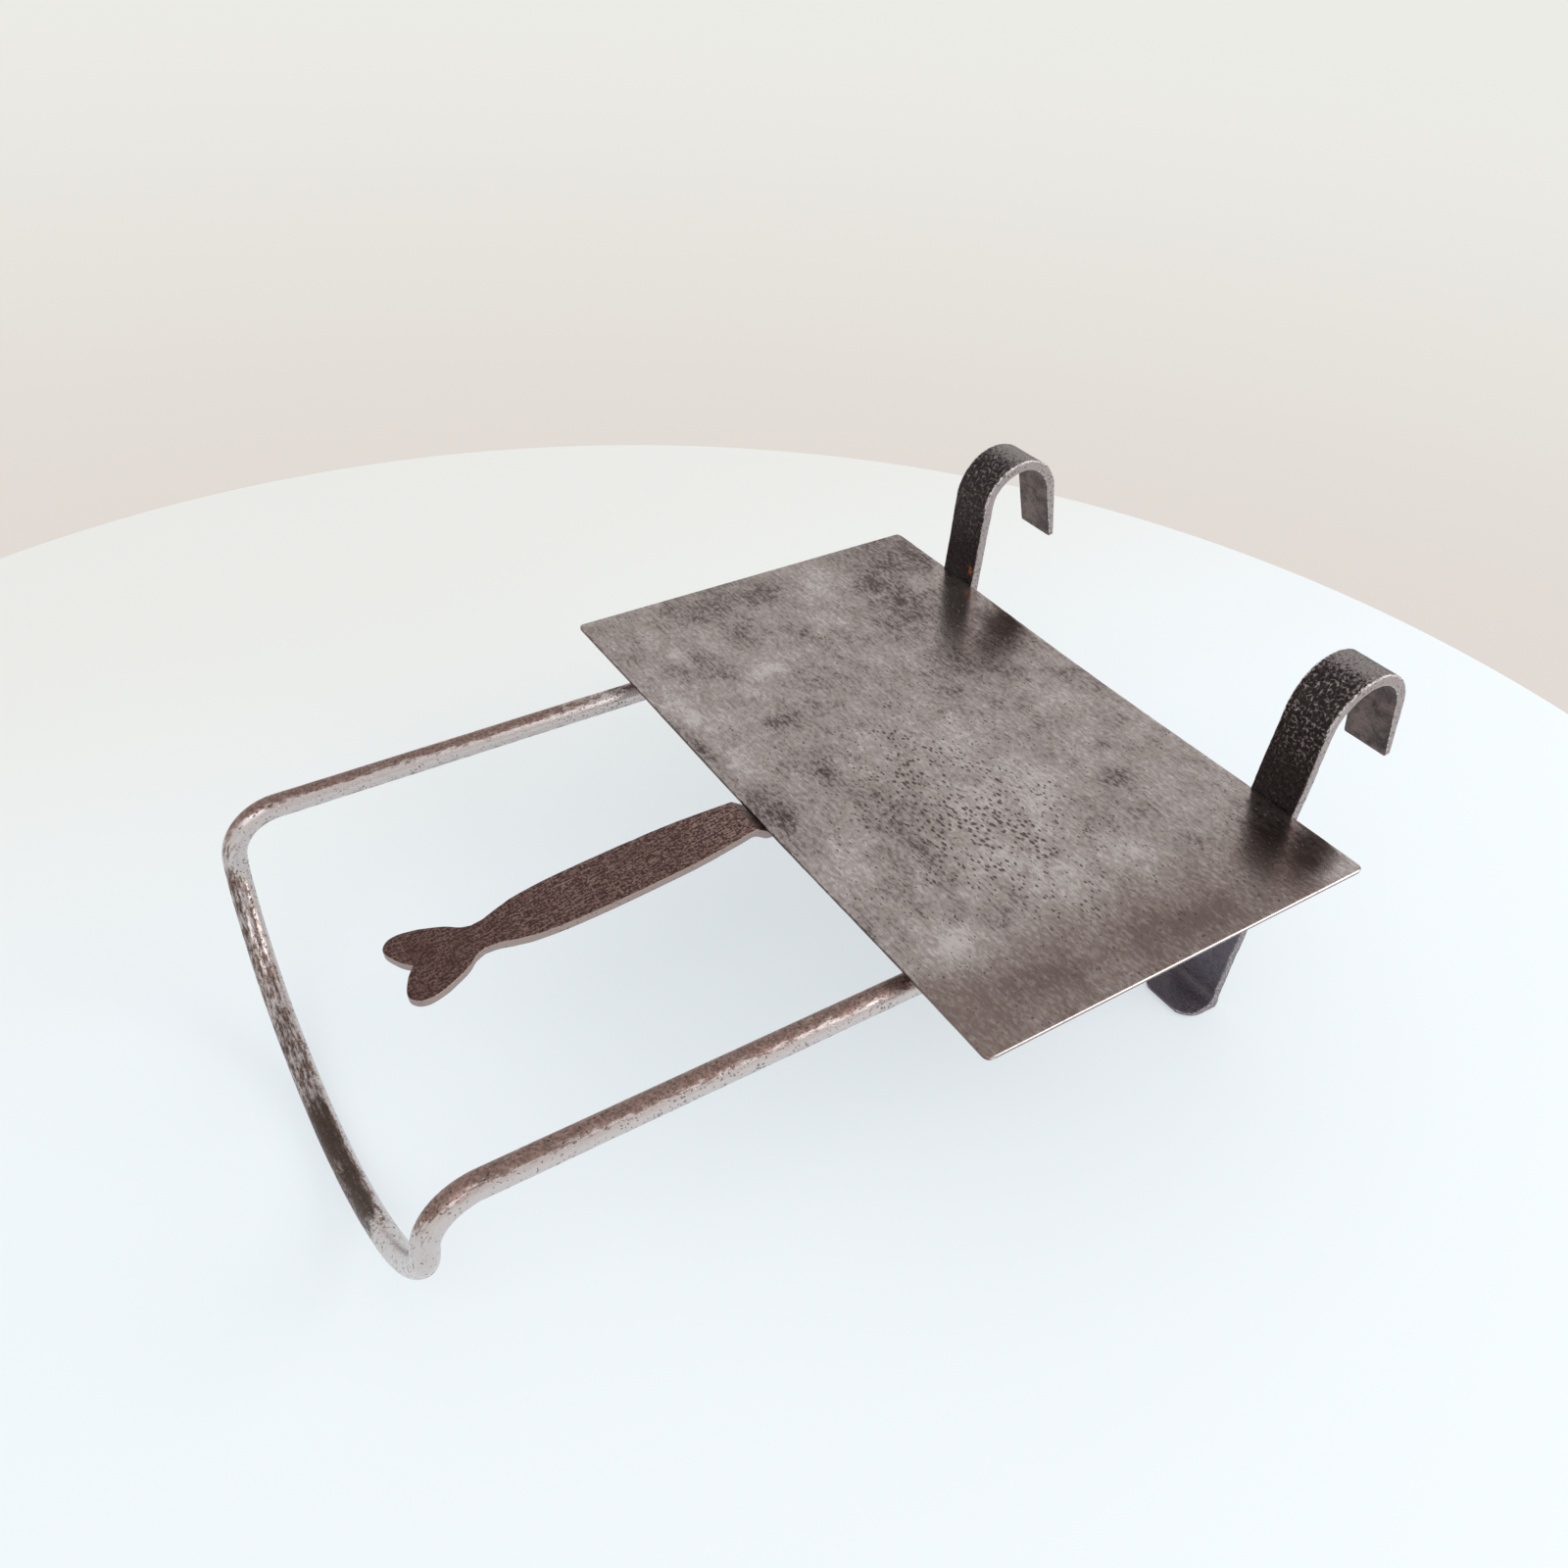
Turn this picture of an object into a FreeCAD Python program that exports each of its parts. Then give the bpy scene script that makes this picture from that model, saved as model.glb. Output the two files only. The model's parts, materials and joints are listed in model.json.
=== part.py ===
"""Hanging, sliding hearth stand: a round rod bow carried by two flat hook straps, and a plate that slides on it.

Millimetres, +Z up, +X to the right of someone standing at the bow, +Y towards the hooks.
Everything is drawn level with the plate, with y = 0 at the plate's front edge and z = 0 on its
top face, and is then tipped forward onto its three feet: the two toes and the belly of the bow.
"""
import FreeCAD
import Part
import math
import os

V = FreeCAD.Vector
EX, EY, EZ = V(1, 0, 0), V(0, 1, 0), V(0, 0, 1)
ORIGIN = V(0, 0, 0)

# ---- plate ---------------------------------------------------------------------------------
plate_length = 300.0          # along X
plate_depth = 183.0           # along Y, from the front edge to the straps
plate_thickness = 1.7
plate_corner_radius = 3.0
plate_shift_x = -0.7          # the plate sits a little off the middle of the rails
plate_strap_gap = 0.5         # plate edge to strap face when pushed fully home

# ---- rail bow ------------------------------------------------------------------------------
rod_diameter = 9.5
rail_spacing = 205.0          # centre to centre of the two arms
bow_reach = 173.0             # plate front edge forward to the corner of the bow
bow_depth = 76.5              # arm axis down to the lowest point of the bow's axis
bow_lean = 4.6                # degrees, the bow swings out towards its foot
corner_radius = 20.0          # arm into the bow
shoulder_radius = 20.0        # upper corner of the bow, in its own plane
belly_angle = 26.0            # degrees from the middle to the end of the belly arc
flank_angle = 57.0            # degrees from the middle to the end of the flank arc
tenon_diameter = 6.5
tenon_head_diameter = 11.0
tenon_head_height = 2.6

# ---- hook straps ---------------------------------------------------------------------------
strap_width = 22.5
strap_shift = {"left": 0.8, "right": 0.0}     # strap middle off its rail, along X
strap_thickness = 5.2
tail_tip_thickness = 3.0
toe_tip_thickness = 2.2
toe_length = 20.6             # heel to toe tip along the floor
toe_outer_corner = 9.0        # plan radius of the toe's corner away from the middle
toe_inner_corner = 7.0        # and of the one towards the middle
toe_outer_flare = 1.2         # the toe is hammered wider than the strap, by this on each side
toe_inner_flare = 5.2
toe_flare_run = 7.0           # from the strap's width out to the toe's
toe_inner_radius = 5.0
heel_radius = 2.6
foot_drop = 103.7             # plate top down to the sole, at the right heel
# each strap: lean back in degrees, arc start height, outer hook radius, tail flare, tail length
hooks = {
    "left": dict(lean=3.5, arc_start=39.0, radius=22.0, flare=9.5, tail=27.5),
    "right": dict(lean=8.0, arc_start=36.6, radius=23.2, flare=8.0, tail=27.5),
}

# ---- guide bars that carry the plate on the rails ------------------------------------------
guide_thickness = 3.0
guide_width = 20.0            # along Y
guide_front_y = 14.0          # front edge of the front bar
guide_rear_inset = 16.0       # plate back edge to the back edge of the rear bar
guide_curl = 235.0            # degrees the ends curl round the rails, from the top
guide_clearance = 0.55        # rail to the inside of the curl, all round
guide_rivet_inset = 26.0      # rail axis inwards to the rivet

# ---- handle --------------------------------------------------------------------------------
handle_shift_x = 3.0          # off the middle of the rails
handle_thickness = 3.6
handle_droop = 5.2            # degrees below the plate
handle_rise = 2.9             # joggle: the grip lies this much above the tang
tang_length = 42.0            # under the plate, behind the front edge
joggle_run = 6.0
joggle_start = 3.0            # plate front edge back to where the joggle begins to rise
grip_root_width = 19.2
grip_length = 112.0           # joggle to the neck
grip_max_width = 26.0
neck_width = 13.4
tail_length = 31.0            # neck to the tips of the lobes
tail_width = 35.2
tail_notch = 6.6              # depth of the notch between the lobes
# side of the grip: shares of its length, and of the way from the root or neck to full width
grip_side = [(0.20, 0.74), (0.42, 1.0), (0.67, 0.985)]
grip_taper = [(0.82, 0.78), (0.90, 0.44), (0.955, 0.12)]
# side of a lobe, from the neck round to its tip: shares of the half width and of the length
lobe_side = [(0.47, 0.13), (0.66, 0.26), (0.835, 0.45), (0.943, 0.61), (1.0, 0.80), (0.92, 0.935)]
lobe_tip = 0.68               # lobe tips, as a share of the half width
lobe_inside = (0.26, 0.45)    # point on the inner edge: share of half width, of notch depth

# ---- rivets --------------------------------------------------------------------------------
rivet_diameter = 5.0
rivet_sink_diameter = 8.0
rivet_sink_depth = 1.2
rivet_head_diameter = 8.5
rivet_head_height = 2.0
handle_rivet_spacing = 9.4    # along X

# ---- derived -------------------------------------------------------------------------------
rod_radius = rod_diameter / 2
half_span = rail_spacing / 2
guide_inner = rod_radius + guide_clearance
rail_drop = plate_thickness + guide_thickness + guide_inner     # plate top down to the arm axes
plate_under = -plate_thickness
guide_under = -plate_thickness - guide_thickness
strap_face_y = plate_depth + plate_strap_gap
guide_rear_y = plate_depth - guide_rear_inset - guide_width
lean_bow = math.radians(bow_lean)
up_bow = V(0, math.sin(lean_bow), math.cos(lean_bow))
lean_right = math.radians(hooks["right"]["lean"])
heel_y = strap_face_y - foot_drop * math.tan(lean_right) + strap_thickness / math.cos(lean_right)


def direction(angle):
    """Unit vector in the YZ plane, angle in degrees from +Y towards +Z."""
    a = math.radians(angle)
    return V(0, math.cos(a), math.sin(a))


def bow_bottom():
    """Lowest point of the bow's axis, on the middle plane."""
    return V(0, -bow_reach, -rail_drop) - up_bow * (bow_depth / up_bow.z)


def stand_tilt():
    """Angle of the floor to the plate: it touches the rod's underside and the right heel."""
    low = bow_bottom()
    a, b = low.y - heel_y, low.z + foot_drop
    return math.pi - math.asin(rod_radius / math.hypot(a, b)) - math.atan2(b, a)


tilt = stand_tilt()
floor_forward = V(0, -math.cos(tilt), math.sin(tilt))
floor_up = V(0, math.sin(tilt), math.cos(tilt))


def sole_z(y):
    """Height of the floor, in the plate's frame, under y."""
    return -foot_drop - (y - heel_y) * math.tan(tilt)


class Rod:
    """A round rod built run by run: straight runs and tangent bends."""

    def __init__(self, start, heading, radius):
        self.at, self.heading, self.radius, self.runs = start, heading, radius, []

    def section(self):
        return Part.Face(Part.Wire(Part.makeCircle(self.radius, self.at, self.heading)))

    def straight(self, length):
        if length > 0:
            self.runs.append(self.section().extrude(self.heading * length))
            self.at = self.at + self.heading * length

    def bend(self, towards, radius, angle):
        side = towards - self.heading * towards.dot(self.heading)
        side.normalize()
        centre = self.at + side * radius
        axis = self.heading.cross(side)
        self.runs.append(self.section().revolve(centre, axis, angle))
        turn = FreeCAD.Rotation(axis, angle)
        self.at = centre + turn.multVec(self.at - centre)
        self.heading = turn.multVec(self.heading)

    def solid(self):
        shape = self.runs[0]
        for run in self.runs[1:]:
            shape = shape.fuse(run)
        return shape.removeSplitter()


def bow_radii(tangent_length):
    """Belly and flank radii that close the bow between its two shoulders."""
    s1, c1 = math.sin(math.radians(belly_angle)), math.cos(math.radians(belly_angle))
    s2, c2 = math.sin(math.radians(flank_angle)), math.cos(math.radians(flank_angle))
    x_left = half_span - shoulder_radius * (1 - s2)
    w_left = bow_depth / up_bow.z - tangent_length - shoulder_radius * c2
    det = s1 * (c1 - c2) - (s2 - s1) * (1 - c1)
    belly = (x_left * (c1 - c2) - (s2 - s1) * w_left) / det
    flank = (s1 * w_left - (1 - c1) * x_left) / det
    return belly, flank


def tenon_and_head(x, strap):
    """Tenon through the strap, and the end peened over behind it."""
    lean = math.radians(hooks[strap]["lean"])
    axis_z = -rail_drop
    face_y = strap_face_y + axis_z * math.tan(lean)
    back_y = face_y + strap_thickness / math.cos(lean)
    tenon = Part.makeCylinder(tenon_diameter / 2, back_y - face_y + strap_thickness,
                              V(x, face_y - strap_thickness / 2, axis_z), EY)
    out = V(0, math.cos(lean), -math.sin(lean))
    r = tenon_head_diameter / 2
    h = tenon_head_height
    ball = (r * r + h * h) / (2 * h)
    seat = V(x, back_y, axis_z)
    dome = Part.makeSphere(ball, seat + out * (h - ball))
    keep = Part.makeCylinder(r + h, h + 1, seat, out)
    return tenon, dome.common(keep), seat, out


def make_bow():
    turn = 90.0 - bow_lean
    tangent_length = corner_radius * math.tan(math.radians(turn / 2))
    belly, flank = bow_radii(tangent_length)
    start_y = strap_face_y + strap_thickness
    rod = Rod(V(half_span, start_y, -rail_drop), EY * -1, rod_radius)
    run = start_y + bow_reach - tangent_length
    rod.straight(run)
    rod.bend(up_bow * -1, corner_radius, turn)
    inwards = EX * -1
    rod.bend(inwards, shoulder_radius, 90.0 - flank_angle)
    rod.bend(inwards, flank, flank_angle - belly_angle)
    rod.bend(up_bow, belly, 2 * belly_angle)
    rod.bend(up_bow, flank, flank_angle - belly_angle)
    rod.bend(up_bow, shoulder_radius, 90.0 - flank_angle)
    rod.bend(EY, corner_radius, turn)
    rod.straight(run)
    shape = rod.solid()
    for side, x in (("left", -half_span), ("right", half_span)):
        shape = shape.cut(behind_strap(side, x))
        tenon, head, seat, out = tenon_and_head(x, side)
        trim = Part.makeBox(4 * strap_width, 4 * strap_width, 4 * strap_width,
                            V(x - 2 * strap_width, 0, -2 * strap_width))
        trim.rotate(ORIGIN, EX, -hooks[side]["lean"])
        trim.translate(V(0, seat.y, seat.z))
        shape = shape.fuse(tenon.cut(trim)).fuse(head)
    return shape.removeSplitter()


def behind_strap(side, x):
    """Everything behind the front face of one strap, near that strap."""
    size = 4 * strap_width
    block = Part.makeBox(size, size, size, V(x - size / 2, 0, -size / 2))
    block.rotate(ORIGIN, EX, -hooks[side]["lean"])
    block.translate(V(0, strap_face_y, 0))
    return block


def fillet_arc(corner, before, after, radius):
    """Tangent points and mid point of the arc that rounds a corner between two directions."""
    u, w = (before - corner).normalize(), (after - corner).normalize()
    half = u.getAngle(w) / 2
    reach = radius / math.tan(half)
    bisector = (u + w).normalize()
    centre = corner + bisector * (radius / math.sin(half))
    return corner + u * reach, centre - bisector * radius, corner + w * reach


def strap_profile(lean, arc_start, radius, flare, tail):
    """Closed outline of a strap, seen from its side, in the YZ plane."""
    up, back = direction(90.0 - lean), direction(-lean)
    foot = V(0, strap_face_y, 0)
    slope = math.tan(math.radians(lean))
    # heel: where the back face of the strap meets the floor
    back_foot = foot + back * strap_thickness
    k = (sole_z(back_foot.y) - back_foot.z) / (up.z + up.y * math.tan(tilt))
    heel = back_foot + up * k
    toe_low = heel + floor_forward * toe_length
    toe_high = toe_low + floor_up * toe_tip_thickness
    # inner corner between the strap's front face and the top of the toe
    inner_low = heel + floor_up * strap_thickness
    top_dir = (toe_high - (inner_low + floor_forward * strap_thickness)).normalize()
    a = (inner_low.y - foot.y - slope * (inner_low.z - foot.z)) / (slope * top_dir.z - top_dir.y)
    inner = inner_low + top_dir * a
    # hook
    front_top = foot + up * arc_start
    centre = front_top + back * radius
    inner_r = radius - strap_thickness
    turn = 180.0 - lean - flare
    mid = direction(180.0 - lean - turn / 2)
    end = direction(180.0 - lean - turn)
    down = direction(flare - 90.0)
    out_end, in_end = centre + end * radius, centre + end * inner_r
    tip_out = out_end + down * tail
    tip_in = tip_out - end * tail_tip_thickness
    back_top = centre - back * inner_r
    h1, hm, h2 = fillet_arc(heel, back_top, toe_low, heel_radius)
    t1, tm, t2 = fillet_arc(inner, toe_high, front_top, toe_inner_radius)
    edges = [
        Part.makeLine(h2, toe_low), Part.makeLine(toe_low, toe_high), Part.makeLine(toe_high, t1),
        Part.Arc(t1, tm, t2).toShape(), Part.makeLine(t2, front_top),
        Part.Arc(front_top, centre + mid * radius, out_end).toShape(),
        Part.makeLine(out_end, tip_out), Part.makeLine(tip_out, tip_in),
        Part.makeLine(tip_in, in_end),
        Part.Arc(in_end, centre + mid * inner_r, back_top).toShape(),
        Part.makeLine(back_top, h1), Part.Arc(h1, hm, h2).toShape(),
    ]
    return Part.Face(Part.Wire(edges)), toe_low


def toe_plan(x, heel, tip, outward):
    """Plan outline of a strap whose toe is hammered wider and rounded, as a tall prism."""
    w = strap_width / 2
    z0, height = -2 * foot_drop, 4 * foot_drop
    far = heel + 4 * strap_face_y
    knee = heel - strap_thickness - toe_inner_radius
    out, inn = outward * (w + toe_outer_flare), -outward * (w + toe_inner_flare)

    def at(dx, y):
        return V(x + dx, y, z0)

    a, a2 = at(outward * w, far), at(-outward * w, far)
    b, b2 = at(outward * w, knee), at(-outward * w, knee)
    c, c2 = at(out, knee - toe_flare_run / 2), at(inn, knee - toe_flare_run)
    d, d2 = at(out, tip), at(inn, tip)
    p, pm, q = fillet_arc(d, c, d2, toe_outer_corner)
    r, rm, t = fillet_arc(d2, d, c2, toe_inner_corner)
    c, c2 = (c if c.y > p.y else p), (c2 if c2.y > t.y else t)
    points = [a, b, c, p]
    edges = [Part.makeLine(u, v) for u, v in zip(points, points[1:]) if u.distanceToPoint(v) > 1e-6]
    edges += [Part.Arc(p, pm, q).toShape(), Part.makeLine(q, r), Part.Arc(r, rm, t).toShape()]
    points = [t, c2, b2, a2, a]
    edges += [Part.makeLine(u, v) for u, v in zip(points, points[1:]) if u.distanceToPoint(v) > 1e-6]
    return Part.Face(Part.Wire(edges)).extrude(V(0, 0, height))


def make_strap(side):
    outward = 1 if side == "right" else -1
    x = outward * half_span + strap_shift[side]
    face, toe = strap_profile(**hooks[side])
    heel = toe + floor_forward * -toe_length
    wide = strap_width + 2 * max(toe_outer_flare, toe_inner_flare) + 2
    face.translate(V(x - wide / 2, 0, 0))
    strap = face.extrude(EX * wide).common(toe_plan(x, heel.y, toe.y, outward))
    hole = Part.makeCylinder(tenon_diameter / 2, 6 * strap_thickness,
                             V(outward * half_span, strap_face_y - 3 * strap_thickness, -rail_drop), EY)
    return strap.cut(hole)


def countersunk(x, y, shank_end, grow=0.0):
    """Rivet shank with a countersunk head let in flush with the plate's top face."""
    shank = Part.makeCylinder(rivet_diameter / 2, -shank_end + grow, V(x, y, shank_end - grow), EZ)
    sink = Part.makeCone(rivet_diameter / 2, rivet_sink_diameter / 2, rivet_sink_depth,
                         V(x, y, -rivet_sink_depth), EZ)
    return shank.fuse(sink)


def rivet(x, y, under):
    """A whole rivet: countersunk at the top and domed under the stack at height `under`."""
    r, h = rivet_head_diameter / 2, rivet_head_height
    ball = (r * r + h * h) / (2 * h)
    dome = Part.makeSphere(ball, V(x, y, under - h + ball))
    keep = Part.makeCylinder(r + h, h + 1, V(x, y, under), EZ * -1)
    return countersunk(x, y, under).fuse(dome.common(keep)).removeSplitter()


def guide_rivet_places():
    for y0 in (guide_front_y, guide_rear_y):
        for side in (-1, 1):
            yield side * (half_span - guide_rivet_inset), y0 + guide_width / 2


def handle_rivet_places():
    for side in (-1, 1):
        yield handle_shift_x + side * handle_rivet_spacing / 2, guide_front_y + guide_width / 2


stack_handle = guide_under - handle_thickness


def make_plate():
    w, r = plate_length / 2, plate_corner_radius
    x0, x1 = plate_shift_x - w, plate_shift_x + w
    corners = [V(x0, 0, 0), V(x1, 0, 0), V(x1, plate_depth, 0), V(x0, plate_depth, 0)]
    edges, last, first = [], None, None
    for i, corner in enumerate(corners):
        p, m, q = fillet_arc(corner, corners[i - 1], corners[(i + 1) % 4], r)
        if last is not None:
            edges.append(Part.makeLine(last, p))
        first = first or p
        edges.append(Part.Arc(p, m, q).toShape())
        last = q
    edges.append(Part.makeLine(last, first))
    plate = Part.Face(Part.Wire(edges)).extrude(V(0, 0, -plate_thickness))
    for x, y in list(guide_rivet_places()) + list(handle_rivet_places()):
        plate = plate.cut(countersunk(x, y, plate_under, grow=1.0))
    return plate


def make_guide(y0, with_handle):
    """Flat bar under the plate with both ends curled round the rails."""
    outer = guide_inner + guide_thickness

    def ring_point(side, radius, angle):
        a = math.radians(90.0 - angle)
        return V(side * (half_span + radius * math.cos(a)), y0, -rail_drop + radius * math.sin(a))

    def curl(side):
        mid, end = guide_curl / 2, guide_curl
        p = [ring_point(side, r, a) for r in (outer, guide_inner) for a in (0.0, mid, end)]
        return p

    left, right = curl(-1), curl(1)
    edges = [
        Part.makeLine(left[0], right[0]),
        Part.Arc(right[0], right[1], right[2]).toShape(),
        Part.makeLine(right[2], right[5]),
        Part.Arc(right[5], right[4], right[3]).toShape(),
        Part.makeLine(right[3], left[3]),
        Part.Arc(left[3], left[4], left[5]).toShape(),
        Part.makeLine(left[5], left[2]),
        Part.Arc(left[2], left[1], left[0]).toShape(),
    ]
    bar = Part.Face(Part.Wire(edges)).extrude(EY * guide_width)
    places = [(x, y) for x, y in guide_rivet_places() if y0 < y < y0 + guide_width]
    if with_handle:
        places += list(handle_rivet_places())
    for x, y in places:
        bar = bar.cut(Part.makeCylinder(rivet_diameter / 2, 4 * guide_thickness,
                                        V(x, y, guide_under - guide_thickness), EZ))
    return bar


def handle_outline():
    """Plan outline of the grip and fish tail, root at y = 0, pointing along -Y."""
    root, wide, neck = grip_root_width / 2, grip_max_width / 2, neck_width / 2
    tail, n = tail_width / 2, grip_length
    grip = [(root, 0.0)] + [(root + f * (wide - root), -s * n) for s, f in grip_side]
    grip += [(neck + f * (wide - neck), -s * n) for s, f in grip_taper] + [(neck, -n)]
    lobe = [(neck, -n)] + [(f * tail, -n - s * tail_length) for f, s in lobe_side]
    end = n + tail_length
    lobe += [(lobe_tip * tail, -end), (lobe_inside[0] * tail, -end + lobe_inside[1] * tail_notch),
             (0.0, -end + tail_notch)]

    def spline(points, sign):
        curve = Part.BSplineCurve()
        curve.interpolate([V(sign * x, y, 0) for x, y in points])
        return curve.toShape()

    edges = [spline(grip, 1), spline(lobe, 1), spline(lobe, -1), spline(grip, -1),
             Part.makeLine(V(-root, 0, 0), V(root, 0, 0))]
    return Part.Face(Part.Wire(Part.__sortEdges__(edges)))


def make_handle():
    """Tang under the front guide bar, a short joggle up, and the drooping grip with its tail."""
    t = handle_thickness
    droop = math.radians(handle_droop)
    top0 = guide_under
    y_under = joggle_start
    y_out = y_under - joggle_run
    z_out = top0 + handle_rise
    w = grip_root_width / 2
    down = V(0, math.sin(droop), -math.cos(droop)) * t
    grip_end = V(-w, y_out, z_out)
    # side profile of tang and joggle; its front edge is the root section of the grip
    pts = [V(-w, tang_length, top0), V(-w, y_under, top0), grip_end, grip_end + down,
           V(-w, y_under + 0.5 * handle_rise, top0 - t), V(-w, tang_length, top0 - t)]
    tang = Part.Face(Part.makePolygon(pts + [pts[0]])).extrude(EX * (2 * w))
    grip = handle_outline().extrude(V(0, 0, -t))
    grip.rotate(ORIGIN, EX, handle_droop)
    grip.translate(V(0, y_out, z_out))
    shape = tang.fuse(grip).removeSplitter()
    shape.translate(V(handle_shift_x, 0, 0))
    for x, y in handle_rivet_places():
        shape = shape.cut(Part.makeCylinder(rivet_diameter / 2, 4 * t, V(x, y, top0 - 2 * t), EZ))
    return shape


def several(shapes):
    return Part.makeCompound(shapes)


parts = {
    "top_plate": make_plate(),
    "guide_bar_front": make_guide(guide_front_y, True),
    "guide_bar_rear": make_guide(guide_rear_y, False),
    "guide_rivets": several([rivet(x, y, guide_under) for x, y in guide_rivet_places()]),
    "handle": make_handle(),
    "handle_rivets": several([rivet(x, y, stack_handle) for x, y in handle_rivet_places()]),
    "rail_bow": make_bow(),
    "hook_strap_left": make_strap("left"),
    "hook_strap_right": make_strap("right"),
}

# ---- stand it on its feet and centre it over the origin -------------------------------------
everything = Part.makeCompound(list(parts.values()))
everything.rotate(ORIGIN, EX, math.degrees(tilt))
box = everything.optimalBoundingBox(False)
shift = V(-(box.XMin + box.XMax) / 2, -(box.YMin + box.YMax) / 2, -box.ZMin)

os.makedirs("parts", exist_ok=True)
for name, shape in parts.items():
    shape.rotate(ORIGIN, EX, math.degrees(tilt))
    shape.translate(shift)
    shape.exportStep("parts/%s.step" % name)
    print("%-17s solids %d valid %s volume %8.0f" %
          (name, len(shape.Solids), shape.isValid(), shape.Volume))

print("tilt %.3f deg, shift %.3f %.3f %.3f, size %.2f %.2f %.2f" %
      (math.degrees(tilt), shift.x, shift.y, shift.z, box.XLength, box.YLength, box.ZLength))
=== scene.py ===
"""Looks of a forged hearth stand: a plate that slides on a bent rod carried by two hook straps."""

import json
import math

import bmesh
import bpy
import numpy as np
from bpy.props import FloatProperty, FloatVectorProperty, PointerProperty
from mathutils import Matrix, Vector


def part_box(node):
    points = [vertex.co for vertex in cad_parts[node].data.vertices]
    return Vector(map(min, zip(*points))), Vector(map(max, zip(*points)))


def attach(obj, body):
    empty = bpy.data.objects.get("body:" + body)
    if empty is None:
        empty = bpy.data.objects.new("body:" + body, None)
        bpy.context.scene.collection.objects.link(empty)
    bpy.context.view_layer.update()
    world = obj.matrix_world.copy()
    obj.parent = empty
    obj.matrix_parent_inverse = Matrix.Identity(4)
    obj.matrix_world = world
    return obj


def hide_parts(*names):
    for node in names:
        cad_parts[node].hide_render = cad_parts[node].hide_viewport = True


bl_info = {
    "name": "Forged hearth stand",
    "version": (1, 0, 0),
    "blender": (4, 5, 0),
    "location": "3D View > Sidebar > Hearth",
    "description": "Builds the hammered surfaces and steel finishes of a sliding hearth stand",
    "category": "Add Mesh",
}

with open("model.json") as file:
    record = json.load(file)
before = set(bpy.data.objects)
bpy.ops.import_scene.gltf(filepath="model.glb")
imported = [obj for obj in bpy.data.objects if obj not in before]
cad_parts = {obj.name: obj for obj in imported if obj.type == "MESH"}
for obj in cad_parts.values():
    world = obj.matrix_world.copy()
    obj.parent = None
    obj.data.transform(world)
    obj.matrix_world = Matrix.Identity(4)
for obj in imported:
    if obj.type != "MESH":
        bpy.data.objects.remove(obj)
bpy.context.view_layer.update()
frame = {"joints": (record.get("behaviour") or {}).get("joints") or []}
plate_low, plate_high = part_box("top_plate")
slide_axis = frame["joints"][0]["axis"]
TILT = math.atan2(-slide_axis[2], -slide_axis[1])
MM = 0.001
STEP = 0.75 * MM          # spacing of the rows along every forged bar
SKIN = 0.02 * MM          # how far the plate and the guides lie under their CAD surfaces
SAG_MARGIN = 2.5 * MM     # how far beyond the rails the sag dies out
TABLE_CENTRE = (-0.0063, -0.0369)
TABLE_RADIUS = 0.5555
CAMERA_PLACE = (0.35654, -0.26287, 0.43366)
CAMERA_TURN = (52.5927, -3.6716, 57.5841)     # degrees about X, Y and Z
CAMERA_LENS = 31.882                          # mm, on a sensor 36 mm wide


# ---- sizes and colours ------------------------------------------------------------------------

def length(name, text, value):
    return FloatProperty(name=name, description=text, default=value, unit="LENGTH", min=0.0, precision=5)


def angle(name, text, degrees):
    return FloatProperty(name=name, description=text, default=math.radians(degrees), unit="ROTATION")


def colour(name, text, value):
    return FloatVectorProperty(name=name, description=text, default=value, subtype="COLOR",
                               size=3, min=0.0, max=1.0)


class HearthPlateSizes(bpy.types.PropertyGroup):
    long: length("Length", "Plate length, from side to side", 0.300)
    deep: length("Depth", "Plate depth, from the front edge to the straps", 0.183)
    thick: length("Thickness", "Plate thickness", 0.0017)
    corner: length("Corner radius", "Radius of the plate's corners", 0.003)
    aside: length("Offset", "How far the plate sits left of the middle of the rails", 0.0007)
    sag: length("Sag", "How far the middle of the plate has sunk between the rails", 0.0011)
    guide_thick: length("Guide thickness", "Thickness of the bars that run on the rails", 0.003)
    guide_wide: length("Guide width", "Width of those bars", 0.020)
    guide_front: length("Front guide", "Plate front edge back to the front bar", 0.014)
    guide_back: length("Rear guide", "Plate back edge forward to the rear bar", 0.016)
    guide_curl: angle("Curl", "How far the bar ends wrap round the rails", 235.0)
    rivet_in: length("Rivet inset", "Rail axis inwards to the guide rivets", 0.026)
    rivet: length("Rivet diameter", "Shank of the rivets", 0.005)
    rivet_head: length("Rivet head", "Diameter of the domed heads underneath", 0.0085)
    rivet_dome: length("Rivet dome", "Height of the domed heads", 0.002)


class HearthRodSizes(bpy.types.PropertyGroup):
    rod: length("Rod diameter", "Diameter of the round rod", 0.0095)
    span: length("Rail spacing", "Between the axes of the two rails", 0.205)
    drop: length("Rail drop", "Plate top down to the rail axes", 0.010)
    reach: length("Reach", "Plate front edge forward to the bow", 0.173)
    depth: length("Bow depth", "Rail axes down to the bow's lowest axis point", 0.0765)
    lean: angle("Bow lean", "How far the bow swings out towards its foot", 4.6)
    corner: length("Corner radius", "Bend from a rail into the bow", 0.020)
    shoulder: length("Shoulder radius", "Upper corners of the bow in its own plane", 0.020)
    belly: angle("Belly", "From the middle to the end of the belly arc", 26.0)
    flank: angle("Flank", "From the middle to the end of the flank arc", 57.0)
    tenon: length("Tenon", "Diameter of the tenons through the straps", 0.0065)
    head: length("Tenon head", "Diameter of the peened heads behind the straps", 0.011)
    head_high: length("Tenon head height", "Height of the peened heads", 0.0026)


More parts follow.
